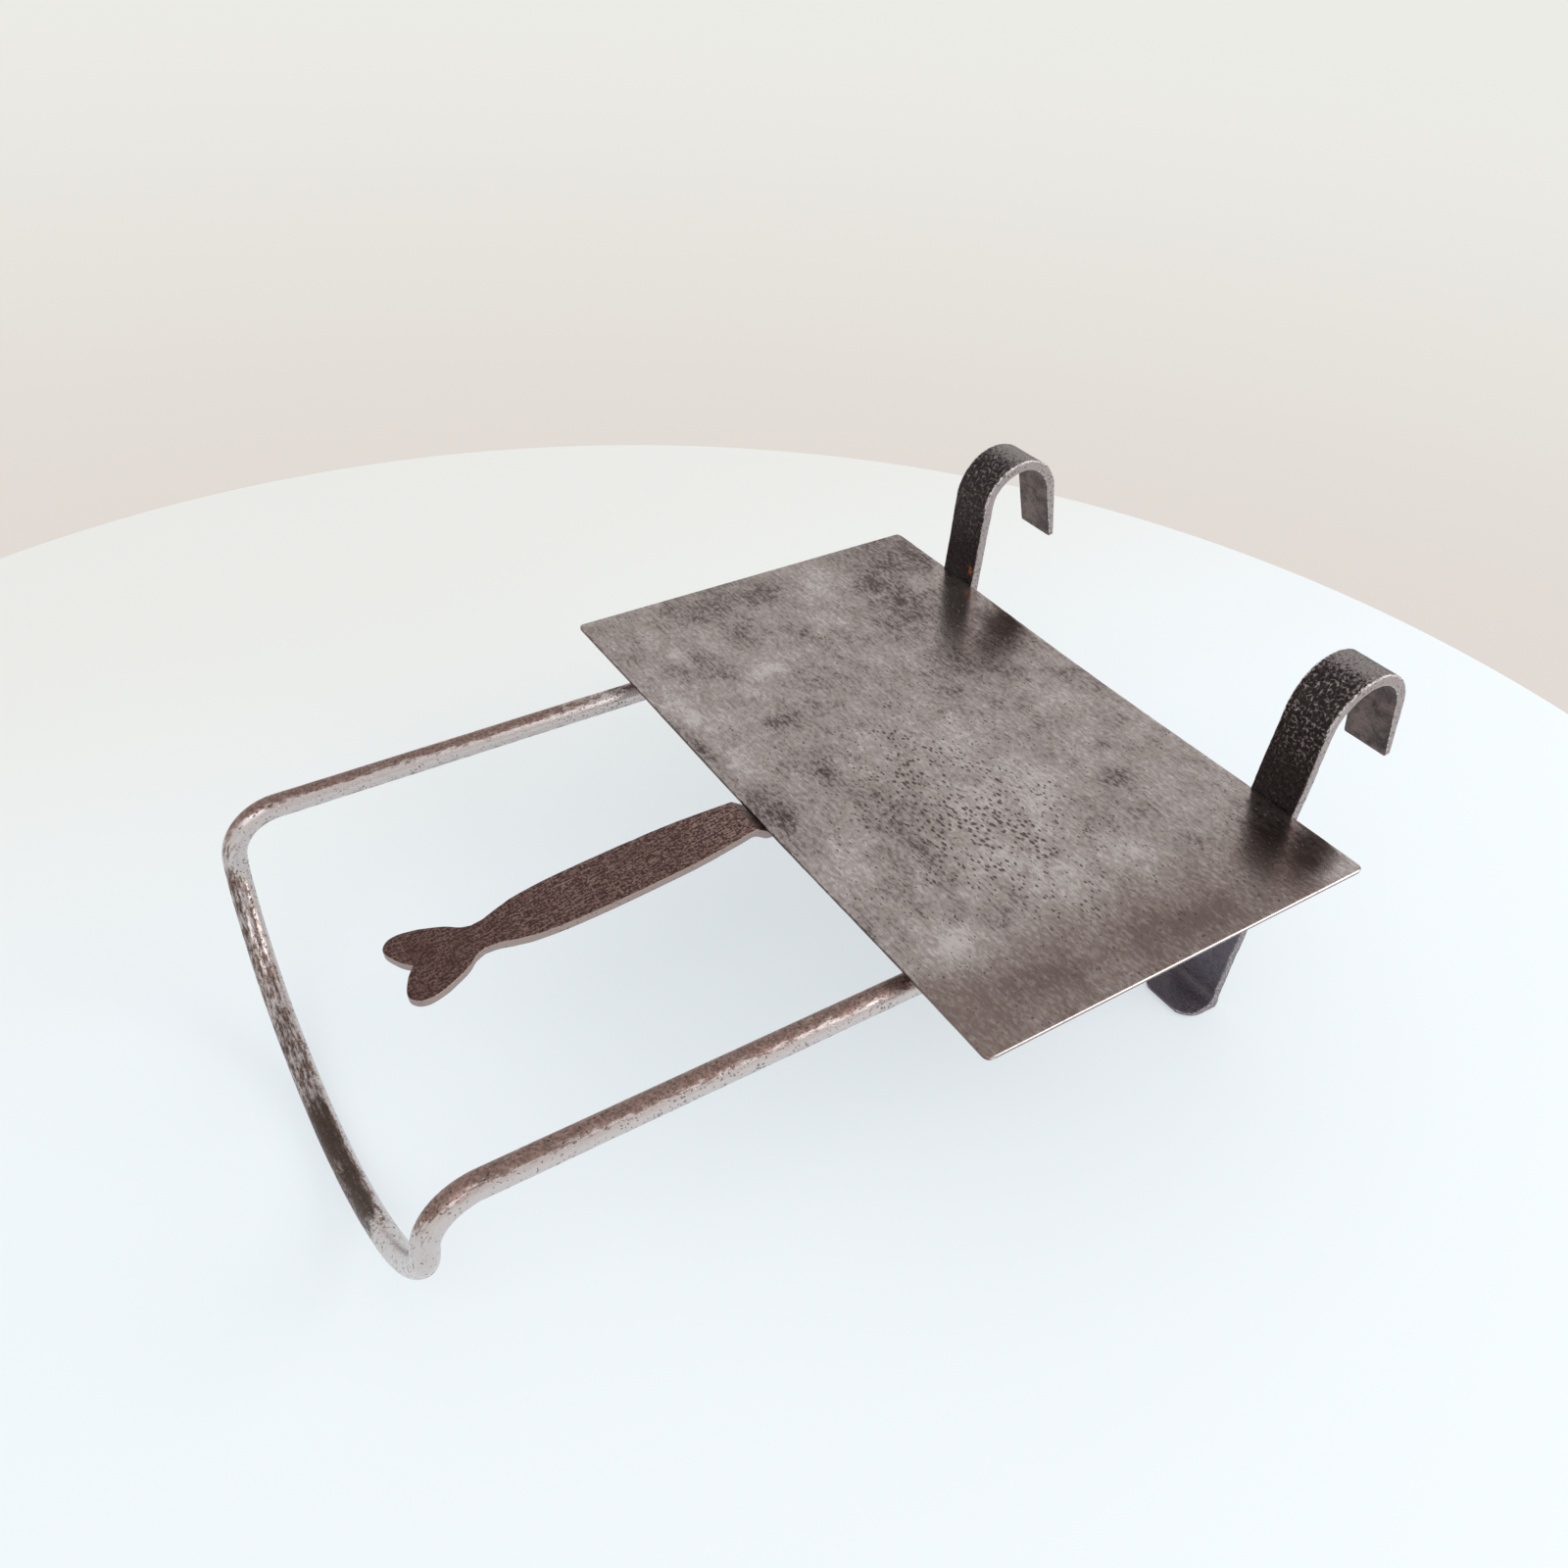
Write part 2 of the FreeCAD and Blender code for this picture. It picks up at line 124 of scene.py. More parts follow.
class HearthStrapSizes(bpy.types.PropertyGroup):
    wide: length("Width", "Strap width", 0.0225)
    thick: length("Thickness", "Strap thickness", 0.0052)
    tail_tip: length("Tail tip", "Thickness at the end of the hook's tail", 0.003)
    toe_tip: length("Toe tip", "Thickness at the tip of the toe", 0.0022)
    toe: length("Toe length", "Heel to the tip of the toe", 0.0206)
    toe_out: length("Outer flare", "Toe wider than the strap, away from the middle", 0.0012)
    toe_in: length("Inner flare", "Toe wider than the strap, towards the middle", 0.0052)
    gap: length("Plate gap", "Plate edge to the straps with the plate pushed home", 0.0005)
    drop: length("Foot drop", "Plate top down to the right heel", 0.1037)
    left_lean: angle("Left lean", "How far the left strap leans back", 3.5)
    left_start: length("Left hook start", "Plate top up to the start of the left hook", 0.039)
    left_hook: length("Left hook radius", "Outer radius of the left hook", 0.022)
    left_flare: angle("Left tail flare", "How far the left tail swings out", 9.5)
    left_tail: length("Left tail", "Length of the left tail", 0.0275)
    left_aside: length("Left offset", "Left strap's middle inwards of its rail", 0.0008)
    right_lean: angle("Right lean", "How far the right strap leans back", 8.0)
    right_start: length("Right hook start", "Plate top up to the start of the right hook", 0.0366)
    right_hook: length("Right hook radius", "Outer radius of the right hook", 0.0232)
    right_flare: angle("Right tail flare", "How far the right tail swings out", 8.0)
    right_tail: length("Right tail", "Length of the right tail", 0.0275)


class HearthHandleSizes(bpy.types.PropertyGroup):
    aside: length("Offset", "Handle right of the middle of the rails", 0.003)
    thick: length("Thickness", "Thickness of the flat handle", 0.0036)
    droop: angle("Droop", "How far the grip droops below the plate", 5.2)
    root_z: length("Root depth", "Plate top down to the top of the grip's root", 0.0018)
    tang: length("Tang", "Length under the plate, behind its front edge", 0.042)
    joggle: length("Joggle", "Half the run of the joggle at the plate's front edge", 0.003)
    root: length("Root width", "Width at the root", 0.0192)
    grip: length("Grip length", "Root to the neck", 0.112)
    widest: length("Widest", "Greatest width of the grip", 0.026)
    neck: length("Neck", "Width of the neck before the tail", 0.0134)
    tail: length("Tail length", "Neck to the tips of the lobes", 0.031)
    tail_wide: length("Tail width", "Width across the lobes", 0.0352)
    notch: length("Notch", "Depth of the notch between the lobes", 0.0066)
    rivets: length("Rivet spacing", "Between the two handle rivets", 0.0094)


class HearthFinish(bpy.types.PropertyGroup):
    plate_dark: colour("Plate dark", "Darkest patches of the plate", (0.085, 0.060, 0.057))
    plate_mid: colour("Plate", "Main tone of the plate", (0.43, 0.368, 0.347))
    plate_light: colour("Plate rubbed", "Rubbed patches of the plate", (0.66, 0.61, 0.59))
    plate_brown: colour("Plate brown", "Brown cast towards the corners", (0.24, 0.175, 0.155))
    # this colour is also laid under the rails as painted shade
    rod_patina: colour("Rod patina", "Brown patina along the top of the rod", (0.190, 0.126, 0.108))
    rod_bare: colour("Rod bare", "Bare pitted steel of the rod", (0.60, 0.54, 0.53))
    rod_dark: colour("Rod scale", "Dark scale left on the bow", (0.050, 0.034, 0.028))
    scale: colour("Fire scale", "Near-black scale of the straps", (0.015, 0.010, 0.010))
    # painted highlight: these speckles stand in for glints on the crust's hammered lumps
    crust_glint: colour("Scale speckles", "Light speckles where the scale is broken", (0.44, 0.375, 0.36))
    # on the plate's back and end faces this colour is painted light
    edge: colour("Worn edge", "Steel laid bare along the edges", (0.72, 0.66, 0.65))
    inner: colour("Hook inside", "Brown-grey inside of the hooks", (0.105, 0.075, 0.068))
    side: colour("Strap side", "Grey thin sides of the straps and the handle", (0.40, 0.35, 0.345))
    # painted light: the feet's own smoother grey-purple, painted lighter as well to stand for light bounced
    # up from the table
    foot: colour("Foot", "Smoother grey-purple of the hammered feet", (0.150, 0.128, 0.155))
    rust: colour("Rust", "Small spot of rust at a strap's foot", (0.33, 0.10, 0.045))
    handle: colour("Handle", "Dark red-brown patina of the handle", (0.125, 0.055, 0.046))
    handle_edge: colour("Handle edge", "Worn grey-brown edge of the handle", (0.36, 0.285, 0.26))
    handle_light: colour("Handle streaks", "Lighter streaks along the handle", (0.30, 0.20, 0.175))
    guide: colour("Guides", "Dark steel underneath", (0.13, 0.115, 0.105))
    floor: colour("Floor", "Plain pale table top", (0.42, 0.43, 0.435))
    # painted shade: floor_far and glow_far make the table top and its glow darker and warmer on the side away
    # from the window
    floor_far: colour("Far floor", "Table top on the side away from the window", (0.40, 0.39, 0.375))
    # painted light: the table top glows by itself, though it is no lamp, to lift the shade under and around
    # the stand and to light its undersides
    glow: colour("Floor glow", "Light that comes through the pale table top", (0.46, 0.505, 0.53))
    glow_far: colour("Far glow", "The same light away from the window", (0.45, 0.465, 0.45))
    room_low: colour("Room below", "Warm surroundings below the table top", (0.76, 0.71, 0.665))
    room_level: colour("Room level", "Pale surroundings at the height of the table", (0.84, 0.84, 0.80))
    room_high: colour("Room above", "Surroundings overhead", (0.70, 0.70, 0.70))


SIZES = {"hearth_plate": HearthPlateSizes, "hearth_rod": HearthRodSizes,
         "hearth_strap": HearthStrapSizes, "hearth_handle": HearthHandleSizes,
         "hearth_finish": HearthFinish}


def sizes():
    scene = bpy.context.scene
    return scene.hearth_plate, scene.hearth_rod, scene.hearth_strap, scene.hearth_handle


# ---- frame and fields -------------------------------------------------------------------------

def to_row(points):
    """Points drawn level with the plate, turned by the standing tilt and moved to the row frame.

    The plate's frame has y = 0 at the plate's front edge, z = 0 on its top and x = 0 midway
    between the rails.
    """
    plate = bpy.context.scene.hearth_plate
    c, s = math.cos(TILT), math.sin(TILT)
    x, y, z = np.moveaxis(np.asarray(points, float), -1, 0)
    middle = (plate_low.x + plate_high.x) / 2 + plate.aside
    top = plate_high.z - plate.deep * s
    return np.stack([x + middle, y * c - z * s + plate_low.y, y * s + z * c + top], -1)


LATTICE = np.random.default_rng(11).random((48, 48, 48))


def smooth(low, high, value):
    """0 below low, 1 above high and 3t² − 2t³ between them."""
    t = np.clip((value - low) / (high - low), 0.0, 1.0)
    return t * t * (3 - 2 * t)


def field(points, cell, seed=0.0):
    """Random field from 0 to 1: values on a cubic lattice of side cell, blended by 3t² − 2t³."""
    q = np.asarray(points, float) / cell + 17.31 * seed + 0.37
    whole = np.floor(q).astype(int)
    t = q - whole
    t = t * t * (3 - 2 * t)
    total = 0.0
    for corner in np.ndindex(2, 2, 2):
        c = np.array(corner)
        weight = np.prod(np.where(c, t, 1 - t), axis=-1)
        i, j, k = np.moveaxis((whole + c) % LATTICE.shape[0], -1, 0)
        total = total + weight * LATTICE[i, j, k]
    return total


def cloud(points, cell, seed=0.0):
    """Three octaves of the field, each half the cell and half the weight of the last."""
    return sum(field(points, cell / 2 ** n, seed + n) * w for n, w in ((0, 0.57), (1, 0.29), (2, 0.14)))


# ---- meshes -----------------------------------------------------------------------------------

def closed_mesh(name, grids, marks):
    """Joins grids of points into one closed mesh.

    Each grid has rows along the piece and columns round it; the last column joins the first, and
    rows that have shrunk to a line or a point are merged there. marks holds, for each grid, the
    per-point values that the finishes read.
    """
    vertices, faces, start = [], [], 0
    for grid in grids:
        rows, columns = grid.shape[:2]
        i = np.arange(rows - 1)[:, None]
        j = np.arange(columns)[None, :]
        k = (j + 1) % columns
        quads = np.stack(np.broadcast_arrays(i * columns + j, i * columns + k,
                                             (i + 1) * columns + k, (i + 1) * columns + j), -1)
        faces.append(quads.reshape(-1, 4) + start)
        vertices.append(grid.reshape(-1, 3))
        start += rows * columns
    vertices, faces = np.concatenate(vertices), np.concatenate(faces)
    mesh = bpy.data.meshes.new(name)
    mesh.vertices.add(len(vertices))
    mesh.vertices.foreach_set("co", vertices.astype(np.float32).ravel())
    mesh.loops.add(faces.size)
    mesh.loops.foreach_set("vertex_index", faces.astype(np.int32).ravel())
    mesh.polygons.add(len(faces))
    mesh.polygons.foreach_set("loop_start", np.arange(0, faces.size, 4, dtype=np.int32))
    mesh.update(calc_edges=True)
    for mark in marks[0]:
        values = np.concatenate([m[mark].reshape(len(g.reshape(-1, 3)), -1) for m, g in zip(marks, grids)])
        kind, key = ("FLOAT_VECTOR", "vector") if values.shape[1] == 3 else ("FLOAT", "value")
        attribute = mesh.attributes.new(mark, kind, "POINT")
        attribute.data.foreach_set(key, values.astype(np.float32).ravel())
    work = bmesh.new()
    work.from_mesh(mesh)
    bmesh.ops.remove_doubles(work, verts=work.verts, dist=1e-6)
    bmesh.ops.dissolve_degenerate(work, edges=work.edges, dist=1e-7)
    bmesh.ops.recalc_face_normals(work, faces=work.faces)
    work.to_mesh(mesh)
    work.free()
    mesh.shade_smooth()
    return mesh


def add_piece(name, grids, marks, material, body, nodes):
    piece = bpy.data.objects.new(name, closed_mesh(name, grids, marks))
    piece.data.materials.append(material)
    bpy.context.scene.collection.objects.link(piece)
    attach(piece, body)
    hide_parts(*nodes)
    return piece


def straight(a, b, count):
    """Points from a towards b, without b."""
    return np.asarray(a) + np.linspace(0, 1, count, endpoint=False)[:, None] * (np.asarray(b) - a)


def arc(centre, start, turn, count):
    """Points on the circle about centre from start through the signed angle turn, without the end."""
    r = np.asarray(start) - centre
    a = math.atan2(r[1], r[0]) + turn * np.linspace(0, 1, count, endpoint=False)
    return np.asarray(centre) + math.hypot(*r) * np.stack([np.cos(a), np.sin(a)], -1)


def fillet(corner, before, after, radius):
    """Centre, two tangent points and signed turn of the arc that rounds a corner."""
    u = (before - corner) / np.linalg.norm(before - corner)
    w = (after - corner) / np.linalg.norm(after - corner)
    half = math.acos(np.clip(u @ w, -1, 1)) / 2
    middle = (u + w) / np.linalg.norm(u + w)
    centre = corner + middle * radius / math.sin(half)
    p, q = corner + u * radius / math.tan(half), corner + w * radius / math.tan(half)
    r, s = p - centre, q - centre
    turn = math.atan2(r[0] * s[1] - r[1] * s[0], r @ s)
    return centre, p, q, turn


def rows_for(size):
    return max(2, int(math.ceil(size / STEP)))


def both(front, back, turn_front=None, turn_back=None):
    """One stretch of a flat bar: the matching rows of its front and back curves.

    front and back are (start, end) for a straight stretch or (centre, start) for an arc.
    """
    def size(pair, turn):
        span = np.linalg.norm(np.asarray(pair[1]) - pair[0])
        return span if turn is None else abs(turn) * span
    count = rows_for(max(size(front, turn_front), size(back, turn_back)))
    return [straight(*pair, count) if turn is None else arc(*pair, turn, count)
            for pair, turn in ((front, turn_front), (back, turn_back))]


def bar_curves(stretches, front_end, back_end):
    """The stretches of a bar joined into its front and back curves, with their end points."""
    return [np.concatenate([pair[k] for pair in stretches] + [np.asarray(end)[None]])
            for k, end in enumerate((front_end, back_end))]


def bar_section(face_count, edge_count, soft):
    """Columns round a flat bar with softened edges.

    Returns u, the share of the way from the middle to the softened edge; e, the distance beyond
    it; and a, b with depth = a + b·thickness below the front face; then the outward normal as its
    part across the bar and its part towards the front.
    """
    quarter = np.linspace(0, math.pi / 2, 4)
    u = np.linspace(-1, 1, face_count)
    ones = np.ones
    side = np.linspace(0, 1, edge_count + 2)[1:-1]
    front = [u, 0 * u, 0 * u, 0 * u, 0 * u, ones(face_count)]
    c1 = quarter[1:]
    upper = [ones(3), soft * np.sin(c1), soft * (1 - np.cos(c1)), 0 * c1, np.sin(c1), np.cos(c1)]
    wall = [ones(edge_count), soft * ones(edge_count), soft * (1 - 2 * side), side,
            ones(edge_count), 0 * side]
    lower = [ones(3), upper[1][::-1], -upper[2][::-1], ones(3), upper[4][::-1], -upper[5][::-1]]
    right = [np.concatenate(x) for x in zip(upper, wall, lower)]
    back = [-u, 0 * u, 0 * u, ones(face_count), 0 * u, -ones(face_count)]
    left = [-right[0], right[1], right[2], right[3], -right[4], right[5]]
    left = [x[::-1] for x in left]
    return [np.concatenate(x) for x in zip(front, right, back, left)]


def refined(curve):
    """The curve with three more rows inside its first and its last step, for softened ends."""
    extra = np.array([0.08, 0.30, 0.60])[:, None]
    first = curve[:1] + extra * (curve[1:2] - curve[:1])
    last = curve[-1:] + extra[::-1] * (curve[-2:-1] - curve[-1:])
    return np.concatenate([curve[:1], first, curve[1:-1], last, curve[-1:]])


def distances(points):
    """Distance along a row of points, from its first one."""
    return np.concatenate([[0], np.cumsum(np.linalg.norm(np.diff(points, axis=0), axis=1))])


def along_bar(front, back):
    """Distance along the bar, on the curve midway between its front and back."""
    return distances((front + back) / 2)


def rounded(distance, radius):
    """How far a corner of that radius has drawn in, at a distance from the end."""
    d = np.clip(distance, 0, radius)
    return radius - np.sqrt(np.maximum(radius ** 2 - (radius - d) ** 2, 0))


def flat_bar(front, back, middle, right, left, section, relief):
    """A flat bar between two matching curves.

    front and back are (n, 2) curves in the bar's bending plane. middle, right and left are rows of
    plan points (distance along, distance across); each row runs from left through middle to right.
    A point is front + depth·(back − front), pushed along its normal by relief(unbent point,
    normal), and its thickness shrinks to nothing round the two ends. Returns the grid as
    (across, bending plane x, bending plane y) and the unbent points.
    """
    u, e, a, b, across, ahead = section
    s = along_bar(front, back)
    thick = np.linalg.norm(front - back, axis=1)
    side = np.where(u[None, :, None] >= 0, (right - middle)[:, None, :], (left - middle)[:, None, :])
    reach = np.linalg.norm(side, axis=-1, keepdims=True)
    ray = side / np.maximum(reach, 1e-9)
    inset = np.maximum(reach - np.max(e), 0)
    plan = middle[:, None, :] + ray * (inset * np.abs(u)[None, :, None] + e[None, :, None])
    along, aside = plan[..., 0], plan[..., 1]
    here = np.interp(along, s, thick)
    depth = a[None, :] + b[None, :] * here
    unbent = np.stack([aside, along, -depth], -1)
    push = relief(unbent, across[None, :], ahead[None, :])
    depth = depth - push * ahead[None, :]
    aside = aside + push * np.sign(aside) * np.abs(across)[None, :]
    soft = STEP
    gone = np.minimum(np.minimum(middle[:, 0] - s[0], s[-1] - middle[:, 0]) / soft, 1.0)
    full = np.sqrt(np.maximum(1 - (1 - gone) ** 2, 0))
    depth = here / 2 + (depth - here / 2) * full[:, None]
    point = np.stack([np.interp(along, s, front[:, k]) for k in (0, 1)], -1)
    under = np.stack([np.interp(along, s, back[:, k]) for k in (0, 1)], -1)
    inward = (under - point) / np.linalg.norm(under - point, axis=-1, keepdims=True)
    place = point + inward * depth[..., None]
    return np.concatenate([aside[..., None], place], -1), unbent


def plan_rows(s, right, left=None):
    """Middle, right and left plan points of a bar whose half widths are given at each row."""
    left = right if left is None else left
    zero = 0 * s
    return [np.stack([s, w + zero], -1) for w in (0.0, right, -left)]


# ---- finishes ---------------------------------------------------------------------------------

class Value:
    """A number that changes over the surface: a socket that +, − and × turn into Math nodes."""

    def __init__(self, tree, socket):
        self.tree, self.socket = tree, socket

    def math(self, operation, first, second):
        made = put(self.tree, "ShaderNodeMath", {0: first, 1: second}, operation=operation)
        return Value(self.tree, made.outputs[0])

    def __add__(self, other):
        return self.math("ADD", self, other)

    def __mul__(self, other):
        return self.math("MULTIPLY", self, other)

    def __sub__(self, other):
        return self.math("SUBTRACT", self, other)

    def __rsub__(self, other):
        return self.math("SUBTRACT", other, self)

    def or_larger(self, other):
        return self.math("MAXIMUM", self, other)

    def ramp(self, low, high):
        """0 below low, 1 above high and smooth between them."""
        made = put(self.tree, "ShaderNodeMapRange", {"Value": self, "From Min": low, "From Max": high},
                   interpolation_type="SMOOTHSTEP")
        return Value(self.tree, made.outputs[0])


def put(tree, kind, values=None, **settings):
    """Adds a node; values are set or linked by input name or number."""
    made = tree.nodes.new(kind)
    for key, value in settings.items():
        setattr(made, key, value)
    for key, value in (values or {}).items():
        socket, value = made.inputs[key], getattr(value, "socket", value)
        if isinstance(value, bpy.types.NodeSocket):
            tree.links.new(value, socket)
        else:
            socket.default_value = (*value, 1.0) if socket.type == "RGBA" else value
    return made


def scaled(tree, vector, factors):
    return put(tree, "ShaderNodeVectorMath", {0: vector, 1: factors}, operation="MULTIPLY").outputs[0]


def blend(tree, factor, first, second):
    """The first colour where factor is 0, the second where it is 1."""
    return put(tree, "ShaderNodeMix", {0: factor, 6: first, 7: second}, data_type="RGBA").outputs[2]


def toned(tone, factor):
    return tuple(factor * c for c in tone)


def group(name, **inputs):
    """An empty shader node group with named Float or Vector inputs and one output, a mask."""
    tree = bpy.data.node_groups.new(name, "ShaderNodeTree")
    for socket, kind in inputs.items():
        tree.interface.new_socket(socket, in_out="INPUT", socket_type="NodeSocket" + kind)
    tree.interface.new_socket("Mask", in_out="OUTPUT", socket_type="NodeSocketFloat")
    return tree, tree.nodes.new("NodeGroupInput").outputs, tree.nodes.new("NodeGroupOutput").inputs[0]


def mottle_group():
    """Cloudy patches: layered noise, cut to a soft mask between Low and High."""
    tree, given, out = group("Mottle", Vector="Vector", Scale="Float", Low="Float", High="Float")
    noise = put(tree, "ShaderNodeTexNoise", {"Vector": given["Vector"], "Scale": given["Scale"],
                                             "Detail": 7.0, "Roughness": 0.62, "Distortion": 0.35})
    mask = Value(tree, noise.outputs[0]).ramp(given["Low"], given["High"])
    tree.links.new(mask.socket, out)


def pitting_group():
    """Corrosion pits: small ragged cells kept only where a coarser noise is high."""
    tree, given, out = group("Pitting", Vector="Vector", Scale="Float", Amount="Float")
    ragged = 0.0016
    coarse = 90.0
    bend = put(tree, "ShaderNodeTexNoise", {"Vector": given["Vector"], "Scale": given["Scale"],
                                            "Detail": 3.0}).outputs["Color"]
    moved = put(tree, "ShaderNodeVectorMath", {0: given["Vector"], 1: scaled(tree, bend, (ragged,) * 3)},
                operation="ADD")
    cells = put(tree, "ShaderNodeTexVoronoi", {"Vector": moved.outputs[0], "Scale": given["Scale"]})
    where = put(tree, "ShaderNodeTexNoise", {"Vector": given["Vector"], "Scale": coarse, "Detail": 4.0})
    pits = Value(tree, where.outputs[0]) * given["Amount"] - cells.outputs["Distance"]
    tree.links.new(pits.ramp(0.0, 0.16).socket, out)


def streak_group():
    """Fine streaks drawn out along one direction of the metal."""
    tree, given, out = group("Streaks", Vector="Vector", Stretch="Vector")
    drawn = scaled(tree, given["Vector"], given["Stretch"])
    noise = put(tree, "ShaderNodeTexNoise", {"Vector": drawn, "Scale": 1.0, "Detail": 5.0, "Roughness": 0.7})
    tree.links.new(Value(tree, noise.outputs[0]).ramp(0.28, 0.72).socket, out)


GROUPS = {"Mottle": mottle_group, "Pitting": pitting_group, "Streaks": streak_group}


class Finish:
    """A material with its Principled shader, and masks that follow the piece's own attributes.

    Patterns read the attribute unbent, which is the point on the bar before it was bent, so grain
    and streaks follow the metal round every curve. Scales are in cells to the metre.
    """

    def __init__(self, name, metallic, specular=0.5):
        self.material = bpy.data.materials.new(name)
        self.material.use_nodes = True
        self.tree = self.material.node_tree
        self.shader = next(n for n in self.tree.nodes if n.type == "BSDF_PRINCIPLED")
        self.shader.inputs["Metallic"].default_value = metallic
        self.shader.inputs["Specular IOR Level"].default_value = specular
        self.where = self.mark("unbent", "Vector").socket

    def mark(self, name, output="Fac"):
        """A per-point value of the piece, by its attribute's name."""
        made = put(self.tree, "ShaderNodeAttribute", attribute_name=name)
        return Value(self.tree, made.outputs[output])

    def marks(self, *names):
        return [self.mark(name) for name in names]

    def effect(self, name, where, **values):
        if name not in bpy.data.node_groups:
            GROUPS[name]()
        values["Vector"] = self.where if where is None else where
        made = put(self.tree, "ShaderNodeGroup", values, node_tree=bpy.data.node_groups[name])
        return Value(self.tree, made.outputs[0])

    def mottle(self, scale, low, high, where=None):
        return self.effect("Mottle", where, Scale=scale, Low=low, High=high)

    def pitting(self, scale, amount, where=None):
        return self.effect("Pitting", where, Scale=scale, Amount=amount)

    def streaks(self, *stretch):
        return self.effect("Streaks", None, Stretch=stretch)

    def mix(self, factor, first, second):
        return blend(self.tree, factor, first, second)

    def finished(self, base, rough, height, depth, strength):
        """Links colour, roughness and a bump whose full height is depth, in metres."""
        bump = put(self.tree, "ShaderNodeBump", {"Height": height, "Distance": depth, "Strength": strength})
        self.tree.links.new(base, self.shader.inputs["Base Color"])
        self.tree.links.new(rough.socket, self.shader.inputs["Roughness"])
        self.tree.links.new(bump.outputs[0], self.shader.inputs["Normal"])
        return self.material


def plate_finish():
    """Cloudy grey steel: patches, grain and streaks add up to one tone, with brown, pits, a front edge face
    painted darker as shade and back and end faces painted pale as light.
    """
    look = bpy.context.scene.hearth_finish
    steel = Finish("Aged plate steel", 0.97)
    stain_and_shade, brown, bare, pitted = steel.marks("stain_and_shade", "brown", "edge", "pitted")
    drawn = scaled(steel.tree, steel.where, (0.55, 1.0, 1.0))
    patches = steel.mottle(30.0, 0.30, 0.70)
    blotch = steel.mottle(150.0, 0.34, 0.68, drawn)
    grain = steel.mottle(620.0, 0.36, 0.66, drawn)
    streaks = steel.streaks(90.0, 1500.0, 900.0)
    flecks = steel.mottle(300.0, 0.60, 0.68, drawn) * pitted.ramp(0.36, 0.84)
    pits = steel.pitting(520.0, pitted, drawn).or_larger(flecks)
    # the tone takes the rubbed and darkened patches and also a painted shade on the plate's front edge face
    tone = stain_and_shade * 1.5 + 0.54
    for mask, weight in ((patches, 0.30), (blotch, 0.20), (grain, 0.32), (streaks, 0.26)):
        tone = tone + (mask - 0.5) * weight
    base = steel.mix(tone.ramp(0.0, 0.58), look.plate_dark, look.plate_mid)
    base = steel.mix(tone.ramp(0.50, 0.98), base, look.plate_light)
    base = steel.mix(brown * (1.0 - grain * 0.45), base, look.plate_brown)
    base = steel.mix(pits * 0.85, base, look.plate_dark)
    # painted light: the back and end faces of the plate take the pale bare-steel colour
    base = steel.mix(bare * 0.8, base, look.edge)
    rough = 0.25 - tone * 0.13 + pits * 0.3
    height = grain * 0.16 - pits + streaks * 0.10
    return steel.finished(base, rough, height, 0.10 * MM, 0.8)


def rod_finish():
    """Pitted bare steel with a ragged brown patina over it, laid also under the rails as painted shade, and
    dark scale left on the bow.
    """
    look = bpy.context.scene.hearth_finish
    steel = Finish("Brown and bare rod", 0.92)
    # the patina mark also carries a painted shade on the underside of the rails
    patina, scale = steel.marks("patina", "scale")
    blotch = steel.mottle(170.0, 0.30, 0.72)
    grain = steel.mottle(800.0, 0.38, 0.66)
    streaks = steel.streaks(900.0, 190.0, 900.0)
    pits = steel.pitting(620.0, 0.62)
    ragged = patina + (streaks - 0.5) * 0.75 + (blotch - 0.5) * 0.45
    tinted = steel.mix(grain, look.rod_patina, toned(look.rod_patina, 1.9))
    base = steel.mix(ragged.ramp(0.25, 0.75), look.rod_bare, tinted)
    dark = scale + (streaks - 0.5) * 0.45
    base = steel.mix(dark.ramp(0.15, 0.85) * 0.85, base, look.rod_dark)
    base = steel.mix(pits * 0.6, base, look.rod_dark)
    rough = ragged * 0.10 + 0.25 + pits * 0.25
    return steel.finished(base, rough, streaks * 0.5 - pits, 0.12 * MM, 0.7)


def strap_finish():
    """Near-black scale with light speckles painted as glints, brown in the hooks, grey on the feet and
    painted lighter there as light from the table, a painted highlight on the tops of the hooks, bare on the
    rims.
    """
    look = bpy.context.scene.hearth_finish
    steel = Finish("Hammered fire scale", 0.75)
    edge, inner, crust, rust, rim, worn, foot = steel.marks("edge", "inner", "crust", "rust", "rim",
                                                            "worn", "foot")
    blotch = steel.mottle(150.0, 0.34, 0.68)
    grain = steel.mottle(800.0, 0.36, 0.68)
    # painted highlight: the light speckles on the crust stand in for glints on its hammered lumps
    glint_speck = steel.mottle(620.0, 0.50, 0.66) * crust
    pits = steel.pitting(560.0, 0.7)
    ragged = (grain - 0.5) * 0.7
    brown = steel.mix(blotch, look.inner, toned(look.inner, 1.9))
    sides = steel.mix(pits * 0.7, look.side, look.inner)
    base = steel.mix(grain, look.scale, toned(look.scale, 2.4))
    base = steel.mix(glint_speck * 0.75, base, look.crust_glint)
    base = steel.mix(inner * blotch.ramp(-0.6, 0.8), base, brown)
    # painted highlight: the worn mark makes the tops of the hooks' arches paler, a painted reflection of the
    # bright room overhead
    base = steel.mix((worn + ragged).ramp(0.25, 0.95), base, toned(look.side, 0.72))
    # painted light: the foot colour is the feet's own smoother grey-purple, painted lighter as well for light
    # bounced up from the table
    base = steel.mix(foot * (0.95 - blotch * 0.25), base, look.foot)
    base = steel.mix((edge + ragged).ramp(0.40, 0.80), base, sides)
    base = steel.mix((rim + ragged).ramp(0.45, 0.95), base, look.edge)
    base = steel.mix((rust + (grain - 0.5) * 0.6).ramp(0.5, 0.8), base, look.rust)
    height = grain * 0.5 - pits + glint_speck * 1.2
    return steel.finished(base, grain * 0.18 + 0.30, height, 0.22 * MM, 0.9)


